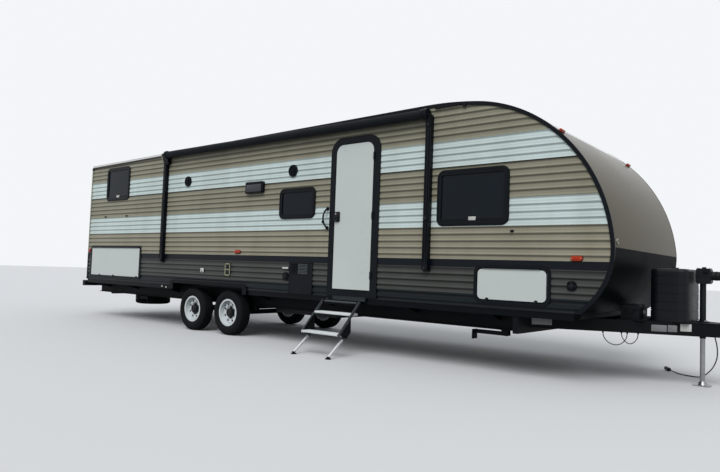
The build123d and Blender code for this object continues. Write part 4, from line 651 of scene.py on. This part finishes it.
# Threshold: the block under the entry door wears a grey painted aluminium tread plate, screwed on,
# with a smooth lip over its top and five ribs along its face.
sill, sill_out = bmesh.new(), -1.2350
brick(sill, (6.505 + REAR, sill_out - .003, .7175), (7.052 + REAR, -SKIN - .0004, .7210), .001)
for rib in range(5):
    brick(sill, (6.509 + REAR, sill_out - .0035, .676 + rib * .008),
          (7.048 + REAR, sill_out + .0005, .680 + rib * .008), .0008)
sill_grey = finish("sill_grey", (66, 74, 76), .6, drift=.15, spread=12, grain=.3, shine=.2)
hang("door_sill", sill, sill_grey, "trim_black")

# Baggage doors: white skinned panels with a black edge bead, a black hinge along the top,
# a pull latch at each lower corner and a catch on the wall that holds them up.
# name, side, first and last station, low and high edge, corner radius, stations of the latches
HATCHES = (
    ("rear", -1, .166, 1.870, .788, 1.323, .022, (.50, 1.005, 1.795)),
    ("front", -1, 8.583, 9.382, .790, 1.137, .062, (8.712, 9.263)),
    ("off_side", 1, 8.583, 9.382, .790, 1.137, .062, (8.712, 9.263)),
)
catches = bmesh.new()
for name, side, x0, x1, z0, z1, corner, latches in HATCHES:
    body = "baggage_door_" + name
    bead, hinge, pull = bmesh.new(), bmesh.new(), bmesh.new()
    on_side(bead, plaque(x1 - x0 - .008, z1 - z0 - .008, corner - .004, .0025, .001, .008), side,
            (x0 + x1) / 2, (z0 + z1) / 2, LEAF_OUT)
    start, end = x0 + corner + .018, x1 - corner - .018
    on_side(hinge, plaque(end - start, .020, .002, .0045, .0015), side, (start + end) / 2, z1 + .002,
            HINGE_OUT - .001)
    stick(hinge, (start + REAR, side * HINGE_OUT, z1 + .008), (end + REAR, side * HINGE_OUT, z1 + .008),
          .0068)
    for station in latches:
        on_side(pull, plaque(.036, .024, .005, .006, .002), side, station, z0 + .014, LEAF_OUT)
        on_side(pull, plaque(.022, .034, .006, .015, .004), side, station, z0 + .012, LEAF_OUT)
        on_side(pull, plaque(.011, .011, .0054, .018, .001), side, station, z0 + .016, LEAF_OUT)
    for share in (.26, .70) if name == "rear" else (.5,):
        middle = x0 + (x1 - x0) * share
        on_side(catches, plaque(.040, .026, .006, .010, .002), side, middle, z1 + (z1 - z0) + .048)
        on_side(catches, plaque(.014, .020, .004, .030, .003), side, middle, z1 + (z1 - z0) + .048)
    hang("hatch_bead_" + name, bead, trim_black, "trim_black", body=body)
    hang("hatch_hinge_" + name, hinge, trim_black, "trim_black", body=body)
    hang("hatch_latches_" + name, pull, cover_black, "trim_black", body=body)
hang("hatch_catches", catches, cover_black, "trim_black")

# Awning: vinyl cloth rolled on a long tube, held between two cast heads on black channel arms that
# are bolted to the side. The roll waves a little, and the cloth's last turn ends in a step.
AWNING_FROM, AWNING_TO, AWNING_RADIUS, CLOTH_STEP = 2.690 + REAR, 7.900 + REAR, .058, .004
AWNING_AT = (-SKIN - .078, 2.905)
roll, cloth_coil = bmesh.new(), []
for index in range(73):
    way, out = 2 * pi * index / 72 + .9, AWNING_RADIUS - CLOTH_STEP + CLOTH_STEP * index / 72
    cloth_coil.append(roll.verts.new((AWNING_FROM, AWNING_AT[0] + out * cos(way),
                                      AWNING_AT[1] + out * sin(way))))
roll.faces.new(cloth_coil)
draw_out(roll, (AWNING_TO - AWNING_FROM, 0, 0))
for share in range(1, 60):
    cut = (AWNING_FROM + (AWNING_TO - AWNING_FROM) * share / 60, 0, 0)
    bmesh.ops.bisect_plane(roll, geom=roll.verts[:] + roll.edges[:] + roll.faces[:], plane_co=cut,
                           plane_no=(1, 0, 0))
for vert in roll.verts:
    away = Vector((0, vert.co.y - AWNING_AT[0], vert.co.z - AWNING_AT[1]))
    vert.co += away * .012 * sin(vert.co.x * 2.1) * sin(vert.co.x * 5.3 + vert.co.z * 9)
awning_cloth = finish("awning_cloth", (22, 26, 30), .7, drift=.12, spread=3, grain=.5, grain_size=900,
                      shine=.12)
hang("awning_cloth_roll", roll, awning_cloth, "awning_cloth", "awning_roller")
arms, bolts = bmesh.new(), bmesh.new()
for station, inner in ((2.600, 1), (7.935, -1)):
    x = station + REAR
    front = -SKIN - .060
    for edge in (-.034, .034):
        brick(arms, (x + edge - .003, front - .004, 1.115), (x + edge + .003, front + .002, 2.800), .001)
    brick(arms, (x - .012, front - .0035, 1.30), (x + .012, front + .001, 2.74), .001)
    brick(arms, (x - .040, front - .006, 1.092), (x + .040, front + .004, 1.140), .003)
    brick(arms, (x - .040, front - .008, 2.760), (x + .040, front + .004, 2.852), .004)
    brick(arms, (x - .030, front - .012, 1.66), (x + .030, front + .002, 1.72), .004)
    for z in (1.115, 1.69, 2.785, 2.828):
        stick(bolts, (x, front - .004, z), (x, front - .014, z), .010, 6)
    head = x + inner * .072
    stick(arms, (head - inner * .026, AWNING_AT[0], AWNING_AT[1]),
          (head + inner * .010, AWNING_AT[0], AWNING_AT[1]), .060, 40)
    stick(bolts, (x - inner * .004, AWNING_AT[0], AWNING_AT[1]),
          (x + inner * .012, AWNING_AT[0], AWNING_AT[1]), .014, 6)
hang("awning_arm_channels", arms, trim_black, "trim_black")
nut_grey = finish("nut_grey", (58, 60, 64), .35, metal=.5, drift=.1, spread=30, shine=.2)
hang("awning_bolts", bolts, nut_grey, "chassis_paint")

# Roof edges: a folded black gutter under the edge moulding, except behind the awning, with a drip
# spout at each end, and the screws that hold the moulding.
gutters, screws = bmesh.new(), bmesh.new()
EAVES_RISE = tan(radians(.68))


def eaves_at(station):
    """The height of the roof's edge, which rises a little to the front."""
    return 2.992 + (station - 7.92) * EAVES_RISE


def along_eaves(shape, first, last, low, high, inner, outer, side):
    """A bar that follows the slope of the roof's edge, given by its heights under that edge."""
    part = bmesh.new()
    rings = []
    for station in (first, last):
        z = eaves_at(station)
        rings.append([part.verts.new((station + REAR, side * y, z + h))
                      for y, h in ((inner, low), (outer, low), (outer, high), (inner, high))])
    part.faces.new(rings[0])
    part.faces.new(rings[1])
    for index in range(4):
        part.faces.new((rings[0][index], rings[0][index - 1], rings[1][index - 1], rings[1][index]))
    bmesh.ops.recalc_face_normals(part, faces=part.faces)
    put(shape, part)


for side in (-1, 1):
    for first, last in ((.030, 2.390), (2.410, 8.400)) if side > 0 else ((.030, 2.390), (7.990, 8.400)):
        along_eaves(gutters, first, last, -.026, -.008, SKIN + .0102, SKIN + .0125, side)
        along_eaves(gutters, first, last, -.026, -.023, SKIN + .0102, SKIN + .0240, side)
        along_eaves(gutters, first, last, -.026, -.014, SKIN + .0225, SKIN + .0245, side)
    for station in (.055, 8.385):
        x, y, z = station + REAR, side * (SKIN + .018), eaves_at(station) - .024
        brick(gutters, (x - .025, y - .011, z - .030), (x + .015, y + .011, z), .003)
    for count in range(9, 30):
        x, z = .12 + .275 * count + REAR, eaves_at(.12 + .275 * count) + .012
        stick(screws, (x, side * (SKIN + .0100), z), (x, side * (SKIN + .0122), z), .0045, 8)
hang("gutters", gutters, trim_black, "trim_black")
hang("moulding_screws", screws, trim_black, "trim_black")

# Roof fittings: three capped drain vents and a low round aerial of white plastic, and the flanges of
# the two vent lids, all set in white sealant. Ribs are pressed in the lids.
cooler_white = finish("cooler_white", (214, 214, 208), .5, drift=.05, spread=3, grain=.3)
repaint(cooler_white, "air_conditioner", "vent_lid_rear", "vent_lid_front")
roof_bits, sealant = bmesh.new(), bmesh.new()


def roof_at(station):
    return 3.025 + (station - 7.92) * EAVES_RISE


for station, y in ((1.55, .62), (4.95, -.70), (7.30, .55)):
    at = Vector((station + REAR, y, roof_at(station)))
    stick(sealant, at - Vector((0, 0, .02)), at + Vector((0, 0, .006)), .085, 28, .060)
    stick(roof_bits, at, at + Vector((0, 0, .070)), .030, 24)
    stick(roof_bits, at + Vector((0, 0, .055)), at + Vector((0, 0, .078)), .062, 28, .050)
    stick(roof_bits, at + Vector((0, 0, .078)), at + Vector((0, 0, .092)), .050, 28, .018)
aerial = Vector((7.78 + REAR, -.10, roof_at(7.78)))
stick(sealant, aerial - Vector((0, 0, .02)), aerial + Vector((0, 0, .004)), .15, 36, .13)
for low, high, wide, narrow in ((0, .02, .13, .13), (.02, .10, .13, .10), (.10, .135, .10, .04)):
    stick(roof_bits, aerial + Vector((0, 0, low)), aerial + Vector((0, 0, high)), wide, 40, narrow)
for station in (2.3, 6.3):
    part = plaque(.47, .47, .02, .012, .004, .05)
    put(sealant, part, (station + REAR, 0, roof_at(station) - .004))
hang("roof_fittings", roof_bits, cooler_white, "cooler_plastic")
sealant_white = finish("sealant_white", (212, 212, 206), .7, drift=.08, spread=20, grain=.7, grain_size=60)
hang("roof_sealant", sealant, sealant_white, "roof_sheet")
for name, station in (("rear", 2.3), ("front", 6.3)):
    low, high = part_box("vent_lid_" + name)
    ribs = bmesh.new()
    for index in range(5):
        y = low[1] + (high[1] - low[1]) * (index + 1) / 6
        brick(ribs, (low[0] + .03, y - .006, high[2] - .002), (high[0] - .03, y + .006, high[2] + .004), .002)
    hang("vent_ribs_" + name, ribs, cooler_white, "cooler_plastic", body="vent_lid_" + name)

# Service fittings: plastic pieces screwed to the sides. They are speakers with grilles, the porch
# lamp, an outlet frame, blank covers, filler and inlet caps, and the vents of heater and cooling box.
grilles, caps, lens, yellow, whites, louvres = (bmesh.new() for _ in range(6))
for station, z in ((3.210, 2.425), (5.670, 2.418)):
    for radius, deep in ((.083, .005), (.062, .009), (.040, .011)):
        on_side(grilles, plaque(2 * radius, 2 * radius, radius - .0004, deep, .0015, .009), -1, station, z,
                SKIN + .014)
    on_side(grilles, plaque(.034, .034, .0168, .013, .003), -1, station, z, SKIN + .014)
    for bar in range(6):
        middle = Vector((station + REAR, -SKIN - .020, z))
        reach = .070 * Vector((cos(pi * bar / 6), 0, sin(pi * bar / 6)))
        stick(grilles, middle - reach, middle + reach, .0022, 8)
on_side(lens, plaque(.330, .110, .012, .018, .006), -1, 4.900, 2.212, SKIN + .040)
on_side(grilles, plaque(.384, .171, .018, .006, .002, .022), -1, 4.900, 2.223, SKIN + .040)
on_side(whites, plaque(.086, .066, .005, .0065, .002), -1, 3.700, .975, SKIN + .004)
on_side(caps, plaque(.030, .016, .003, .004, .001), -1, 3.700, .958, SKIN + .0085)
for station, z in ((2.580, .674), (2.700, .662)):
    on_side(whites, plaque(.030, .030, .0148, .006, .002), -1, station, z, 1.2045)
on_side(whites, plaque(.116, .024, .004, .006, .002), -1, 5.600, 1.057, SKIN + .0125)
on_side(yellow, plaque(.126, .190, .007, .006, .002, .020), -1, 4.335, 1.002, SKIN + .010)
on_side(yellow, plaque(.090, .018, .0, .006, .002), -1, 4.335, 1.002, SKIN + .010)
for drop in (.045, -.045):
    on_side(caps, plaque(.056, .056, .0279, .008, .003), -1, 4.335, 1.002 + drop, SKIN + .010)
for station, z, radius in ((5.605, .945, .048), (9.627, .982, .042)):
    on_side(caps, plaque(2 * radius, 2 * radius, radius - .0004, .010, .003, .012), -1, station, z,
            SKIN + .012)
    on_side(caps, plaque(1.2 * radius, 1.2 * radius, .6 * radius - .0004, .016, .004), -1, station, z,
            SKIN + .010)
HEATER, LOUVRE_TURN = (5.895, .928), radians(38)
on_side(grilles, plaque(.448, .438, .014, .004, .0015, .016), -1, *HEATER, SKIN + .0085)
for wide, middle in ((.114, -.122), (.180, .045)):
    on_side(grilles, plaque(wide + .016, .156, .006, .004, .0015, .008), -1, HEATER[0] + middle, 1.050,
            SKIN + .0085)
    for blade in range(7):
        z = 1.050 - .060 + .020 * blade
        x = HEATER[0] + middle + REAR
        part = block((wide, .002, .018))
        turn(part, LOUVRE_TURN, "X")
        put(louvres if wide > .15 else grilles, part, (x, -SKIN - .013, z))
on_side(caps, plaque(.030, .030, .0148, .006, .002), -1, HEATER[0], .755, SKIN + .009)
on_side(caps, plaque(.030, .030, .0148, .010, .003), -1, 6.270, 1.690, SKIN + .006)
OFF_VENT = (2.300, .960)
for blade in range(14):
    z = OFF_VENT[1] - .17 + .026 * blade
    part = block((.36, .002, .024))
    turn(part, -LOUVRE_TURN, "X")
    put(grilles, part, (OFF_VENT[0] + REAR, SKIN + .016, z))
on_side(grilles, plaque(.420, .420, .014, .006, .002, .022), 1, *OFF_VENT, SKIN + .011)
for station, radius in ((6.500, .064), (6.900, .050)):
    on_side(caps, plaque(2 * radius, 2 * radius, radius - .0004, .012, .004), 1, station, .960, SKIN + .015)
on_side(grilles, plaque(.300, .180, .010, .005, .002, .014), 1, 5.000, 1.010, SKIN + .011)
stick(grilles, (5.000 + REAR, SKIN + .010, 1.010), (5.000 + REAR, SKIN + .032, 1.010), .034, 28)
fitting_black = finish("fitting_black", (14, 18, 25), .45, drift=.15, spread=20, grain=.2, shine=.12)
repaint(fitting_black, "side_fittings")
dull_yellow = finish("dull_yellow", (148, 150, 124), .55, drift=.1, spread=30, shine=.2)
fitting_white = finish("fitting_white", (206, 208, 202), .45, drift=.05, spread=30)
smoked_lens = finish("smoked_lens", (30, 36, 44), .35, drift=.1, spread=30, grain=.2, grain_size=200)
hang("fitting_grilles", grilles, fitting_black, "fitting_plastic")
hang("fitting_caps", caps, cover_black, "fitting_plastic")
hang("porch_lamp_lens", lens, smoked_lens, "fitting_plastic")
hang("outlet_frame", yellow, dull_yellow, "fitting_plastic")
hang("fitting_whites", whites, fitting_white, "fitting_plastic")
louvre_grey = finish("louvre_grey", (104, 112, 112), .5, metal=.3, drift=.1, spread=30)
hang("heater_louvres", louvres, louvre_grey, "fitting_plastic")

# Entry steps: grey powder-coated side bars on a pivot tube, two ridged bright aluminium treads and
# two legs, whose bright inner tubes slide in grey sleeves and stand on hinged rubber feet.
def beam(shape, start, end, wide, deep, edge=.0015):
    """A square-edged bar between two points, wide across the caravan's length."""
    run = Vector(end) - Vector(start)
    part = block((wide, deep, run.length), edge)
    put(shape, part, (Vector(start) + Vector(end)) / 2, up=run.cross(Vector((1, 0, 0))), out=run)


STEP_PIVOT, STEP_TILT, STEP_RUN = Vector((0, -1.262, .650)), radians(46), .542
STEP_SIDES = (6.362 + REAR, 6.975 + REAR)


def on_steps(x, distance, across=0.0):
    """A point of the steps: down the bars by a distance, and square to them, upwards."""
    return Vector((x, STEP_PIVOT.y - distance * cos(STEP_TILT) - across * sin(STEP_TILT),
                   STEP_PIVOT.z - distance * sin(STEP_TILT) + across * cos(STEP_TILT)))


step_bars, step_webs, step_treads, inner_legs, rubber_feet, step_bolts = (bmesh.new() for _ in range(6))
leg_slope = radians(38)
for x, inward in zip(STEP_SIDES, (1, -1)):
    beam(step_bars, on_steps(x, -.016), on_steps(x, STEP_RUN), .012, .038)
    top = on_steps(x + inward * .019, STEP_RUN - .118, -.120)
    down = Vector((0, -cos(leg_slope), -sin(leg_slope)))
    reach = (top.z - .020) / sin(leg_slope)
    beam(step_bars, top - down * .012, top + down * .085, .030, .030)
    beam(inner_legs, top + down * .070, top + down * reach, .025, .025)
    foot = top + down * reach
    brick(rubber_feet, (foot.x - .027, foot.y - .027, .0), (foot.x + .027, foot.y + .027, .015), .004)
    brick(rubber_feet, (foot.x - .016, foot.y - .014, .012), (foot.x + .016, foot.y + .014, .034), .003)
    stick(step_bolts, (foot.x - .020, foot.y, .026), (foot.x + .020, foot.y, .026), .004, 12)
    for share in range(4):
        hole = top + down * (.12 + .035 * share)
        stick(rubber_feet, hole - Vector((.0129, 0, 0)), hole + Vector((.0129, 0, 0)), .0035, 12)
    knob = top + down * .066
    stick(step_bolts, knob - Vector((.018, 0, 0)), knob + Vector((.018, 0, 0)), .0045, 12)
    web = bmesh.new()
    web.faces.new([web.verts.new(on_steps(x, STEP_RUN - back, drop))
                   for back, drop in ((.330, 0), (.030, 0), (.080, -.142), (.190, -.142))])
    draw_out(web, (inward * .006, 0, 0))
    put(step_webs, web)
    for distance in (.195, .330, .521):
        at = on_steps(x - inward * .006, distance)
        stick(step_bolts, at, at - Vector((inward * .006, 0, 0)), .007, 6)
stick(step_bars, (STEP_SIDES[0], STEP_PIVOT.y, STEP_PIVOT.z), (STEP_SIDES[1], STEP_PIVOT.y, STEP_PIVOT.z),
      .012, 24)
for distance in (.195, .521):
    middle = on_steps(0, distance)
    front, back, top = middle.y - .025, middle.y + .125, middle.z + .0135
    x0, x1 = STEP_SIDES[0] + .0065, STEP_SIDES[1] - .0065
    brick(step_treads, (x0, front, top - .027), (x1, back, top - .004), .004)
    brick(step_treads, (x0, front - .001, top - .025), (x1, front + .012, top + .0005), .004)
    for ridge in range(9):
        y = front + .020 + ridge * .0145
        brick(step_treads, (x0 + .002, y, top - .005), (x1 - .002, y + .008, top + .0005), .0012)
    for x in (x0 + .004, x1 - .010):
        brick(step_treads, (x, front + .006, top - .034), (x + .006, back - .004, top - .008), .001)
bright_aluminium = finish("bright_aluminium", (228, 232, 232), .42, metal=.2, drift=.06, spread=14, grain=.3,
                          grain_size=150)
step_grey = finish("step_grey", (70, 75, 78), .42, drift=.12, spread=8, grain=.2, shine=.25)
hang("step_side_bars", step_bars, step_grey, "step_paint", "step_frame", body="steps")
hang("step_side_plates", step_webs, chassis_black, "step_paint", "step_frame", body="steps")
hang("step_inner_legs", inner_legs, bright_aluminium, "step_paint", "step_frame", body="steps")
hang("step_rubber_feet", rubber_feet, rubber_black, "step_paint", "step_frame", body="steps")
hang("step_bolts", step_bolts, bright_plate, "step_paint", body="steps")
hang("step_tread_planks", step_treads, bright_aluminium, "tread_metal", "step_treads", body="steps")
mount_bolts = bmesh.new()
for x in (6.40 + REAR, 6.94 + REAR):
    for z in (.628, .672):
        stick(mount_bolts, (x, -1.2192, z), (x, -1.2300, z), .008, 6)
hang("step_mount_bolts", mount_bolts, bright_plate, "chassis_paint")

# Lamps: moulded lenses on black gasket plates, screwed through the skin. The two on the front curve
# and the four ahead on the sides are amber, the two at the rear corners and all behind are red.
ambers, reds, gasket_plates, lamp_screws = (bmesh.new() for _ in range(4))
LAMP_TURN = radians(42.1)
lamp_out, along_y = Vector((sin(LAMP_TURN), 0, cos(LAMP_TURN))), Vector((0, 1, 0))
for y in (-1.140, 1.140):
    at, way = Vector((9.4599 + REAR, y, 2.5475)), (along_y, lamp_out.cross(along_y), lamp_out)
    put(gasket_plates, plaque(.116, .042, .0208, .004, .001), at, *way)
    put(ambers, plaque(.108, .036, .0178, .026, .008), at + lamp_out * .003, *way)
TO_REAR = ((0, -1, 0), (0, 0, 1), (-1, 0, 0))
for y in (-1.140, -.160, .0, .160, 1.140):
    at = Vector((REAR, y, 2.8381))
    put(gasket_plates, plaque(.104, .030, .0148, .004, .001), at, *TO_REAR)
    put(reds, plaque(.096, .024, .0118, .014, .005), at - Vector((.003, 0, 0)), *TO_REAR)
for side in (-1, 1):
    for station, z, wide, high in ((4.550, 1.276, .136, .052), (9.672, 1.252, .126, .058)):
        on_side(gasket_plates, plaque(wide, high, high / 2 - .0002, .004, .001), side, station, z)
        on_side(ambers, plaque(wide - .008, high - .006, high / 2 - .0034, .020, .007), side, station, z,
                SKIN + .003)
        for end in (-1, 1):
            x = station + end * (wide / 2 - .016)
            on_side(lamp_screws, plaque(.007, .007, .0034, .002, .0006), side, x, z, SKIN + .0225)
    on_side(gasket_plates, plaque(.090, .064, .014, .004, .001), side, .080, 1.264)
    on_side(reds, plaque(.082, .056, .012, .020, .007), side, .080, 1.264, SKIN + .003)
    at = Vector((REAR, side * 1.090, 1.270))
    put(gasket_plates, plaque(.190, .160, .020, .010, .002), at, *TO_REAR)
    put(reds, plaque(.178, .148, .016, .026, .008), at - Vector((.008, 0, 0)), *TO_REAR)
lens_red = finish("lens_red", (160, 16, 14), .25, drift=.15, spread=40, shine=.3)
lens_amber = finish("lens_amber", (172, 50, 10), .25, drift=.15, spread=40, shine=.25)
hang("lamp_lenses_amber", ambers, lens_amber, "lamp_lens", "lamps")
hang("lamp_lenses_red", reds, lens_red, "lamp_lens", "lamps")
hang("lamp_gaskets", gasket_plates, rubber_black, "lamp_lens", "lamps")
hang("lamp_screws", lamp_screws, bright_plate, "chassis_paint")
reversing, number_bracket = bmesh.new(), bmesh.new()
for side in (-1, 1):
    put(reversing, plaque(.050, .120, .008, .004, .0015), Vector((REAR - .034, side * 1.040, 1.270)),
        *TO_REAR)
put(number_bracket, plaque(.330, .190, .012, .004, .001), Vector((REAR, -.760, 1.010)), *TO_REAR)
put(number_bracket, plaque(.070, .026, .006, .040, .004), Vector((REAR, -.760, 1.122)), *TO_REAR)
hang("reversing_lenses", reversing, fitting_white, "lamp_lens")
hang("number_plate_bracket", number_bracket, fitting_black, "fitting_plastic")

# Spare wheel: the same tyre on a white pressed steel disc. It hangs flat under the rear from a
# carrier bar, held by one nut over a plain washer.
PRESSED_DISC = (
    (.0115, .005), (.084, .005), (.109, .029), (.150, .029), (.180, .002), (.1825, .076), (.206, .079),
    (.206, .085), (.1895, .085), (.1895, -.085), (.206, -.085), (.206, -.079), (.1825, -.076), (.180, -.006),
    (.146, .020), (.112, .020), (.088, -.003), (.0115, -.003),
)
disc = spun(PRESSED_DISC, 72, closed=True)
turn(disc, pi / 2, "X")
shift(disc, SPARE_AT)
hang("spare_disc", disc, wheel_white, "rim_paint", "spare_wheel")
spare_nut = bmesh.new()
stick(spare_nut, (SPARE_AT[0], 0, SPARE_AT[2] - .010), (SPARE_AT[0], 0, SPARE_AT[2] - .003), .040, 24)
stick(spare_nut, (SPARE_AT[0], 0, SPARE_AT[2] - .030), (SPARE_AT[0], 0, SPARE_AT[2] - .010), .016, 6)
hang("spare_nut", spare_nut, zinc, "chassis_paint")

# Tongue: the jack's motor head with its drive plug, switch plate and lamp; the gas bottle cover's
# hold-down knob; the battery's rope handle and vent caps; blank plates on the door-side tube.
head_trim, head_light, head_bolts = bmesh.new(), bmesh.new(), bmesh.new()
brick(head_trim, (-.062, -.061, 1.120), (.084, .061, 1.126), .001)
stick(head_trim, (.010, 0, 1.206), (.010, 0, 1.222), .020, 24)
stick(head_trim, (.120, 0, 1.132), (.128, 0, 1.132), .0485, 40)
stick(head_trim, (.160, 0, 1.132), (.166, 0, 1.132), .0485, 40)
brick(head_trim, (.010, -.064, 1.150), (.060, -.058, 1.190), .002)
for x in (.022, .048):
    brick(head_trim, (x - .007, -.069, 1.160), (x + .007, -.062, 1.180), .002)
brick(head_light, (.184, -.016, 1.112), (.190, .016, 1.128), .002)
for x, y in ((-.046, -.045), (-.046, .045), (.068, -.045), (.068, .045)):
    stick(head_bolts, (x, y, 1.206), (x, y, 1.213), .007, 6)
for way in (radians(60), radians(180), radians(300)):
    stick(head_bolts, (.048 * cos(way), .048 * sin(way), .662), (.048 * cos(way), .048 * sin(way), .673),
          .008, 6)
hang("jack_head_trim", head_trim, rubber_black, "jack_steel")
hang("jack_head_light", head_light, fitting_white, "lamp_lens")
hang("jack_bolts", head_bolts, bright_plate, "chassis_paint")
leg_pin = bmesh.new()
stick(leg_pin, (-.040, 0, .034), (.040, 0, .034), .007, 16)
hang("jack_foot_pin", leg_pin, bright_plate, "chassis_paint", body="jack_leg")
COVER_LOW, COVER_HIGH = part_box("gas_bottle_cover")
cover_middle = (COVER_LOW + COVER_HIGH) / 2
knob = bmesh.new()
knob_z = COVER_HIGH.z - .018
stick(knob, (cover_middle.x, 0, knob_z - .004), (cover_middle.x, 0, knob_z + .006), .045, 32)
stick(knob, (cover_middle.x, 0, knob_z), (cover_middle.x, 0, knob_z + .030), .012, 16)
brick(knob, (cover_middle.x - .036, -.006, knob_z + .012), (cover_middle.x + .036, .006, knob_z + .034), .004)
hang("cover_knob", knob, rubber_black, "cover_plastic")
BATTERY_LOW, BATTERY_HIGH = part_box("battery_box")
battery_middle = (BATTERY_LOW + BATTERY_HIGH) / 2
rope, lid_bits, buckle = bmesh.new(), bmesh.new(), bmesh.new()
for y, way in ((BATTERY_LOW.y, -1), (BATTERY_HIGH.y, 1)):
    previous = None
    for index in range(15):
        a = pi * index / 14
        at = Vector((battery_middle.x - .050 * cos(a), y + way * (.006 + .014 * sin(a)),
                     BATTERY_HIGH.z - .050 - .045 * sin(a)))
        if previous:
            stick(rope, previous, at, .005, 10)
        previous = at
for y in (BATTERY_LOW.y + .075, BATTERY_HIGH.y - .075):
    stick(lid_bits, (battery_middle.x - .02, y, BATTERY_HIGH.z - .006),
          (battery_middle.x - .02, y, BATTERY_HIGH.z + .004), .022, 20)
for side in (-1, 1):
    x = battery_middle.x + side * (BATTERY_HIGH.x - BATTERY_LOW.x) / 2
    brick(buckle, (x - .005, battery_middle.y - .026, BATTERY_LOW.z + .060),
          (x + .005, battery_middle.y + .026, BATTERY_LOW.z + .092), .002)
hang("battery_handles", rope, rubber_black, "cover_plastic")
hang("battery_vents", lid_bits, rubber_black, "cover_plastic")
hang("battery_buckles", buckle, zinc, "chassis_paint")
TUBE_FROM, TUBE_TO = Vector((9.0602 + REAR, -.870, 0)), Vector((10.900 + REAR, -.020, 0))
tube_way = (TUBE_TO - TUBE_FROM).normalized()
tube_face = Vector((tube_way.y, -tube_way.x, 0))
plates_grey, plates_white = bmesh.new(), bmesh.new()
for shape, start, end, low, high in (
        (plates_grey, .006, .214, .550, .628), (plates_grey, 1.190, 1.335, .545, .612),
        (plates_grey, 1.345, 1.432, .548, .615), (plates_white, 1.462, 1.565, .560, .634)):
    at = TUBE_FROM + tube_way * (start + end) / 2 + tube_face * .025 + Vector((0, 0, (low + high) / 2))
    put(shape, plaque(end - start, high - low, .004, .0012, .0004), at, tube_way, (0, 0, 1), tube_face)
plate_grey = finish("plate_grey", (120, 122, 122), .5, metal=.4, drift=.1, spread=30)
hang("tongue_plates_grey", plates_grey, plate_grey, "chassis_paint")
hang("tongue_plates_white", plates_white, fitting_white, "chassis_paint")

# Cooler: a moulded white plastic shroud, bolted down on the roof over its machine. Its two long
# sides lean in, and each has seven rows of dark slots in three bays.
LOUVRE_LEAN = atan2(.060, .274)
cooler_low, cooler_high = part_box("air_conditioner")
cooler_middle = (cooler_low + cooler_high) / 2
slots = bmesh.new()
for side in (-1, 1):
    for row in range(7):
        for bay in range(3):
            z = cooler_low.z + .070 + row * .024
            out = .330 - (z - cooler_low.z - .026) * tan(LOUVRE_LEAN)
            x = cooler_middle.x - .235 + bay * .205
            brick(slots, (x - .085, side * out - .003, z - .005), (x + .085, side * out + .003, z + .005),
                  .001)
hang("cooler_louvres", slots, fitting_black, "cooler_plastic")
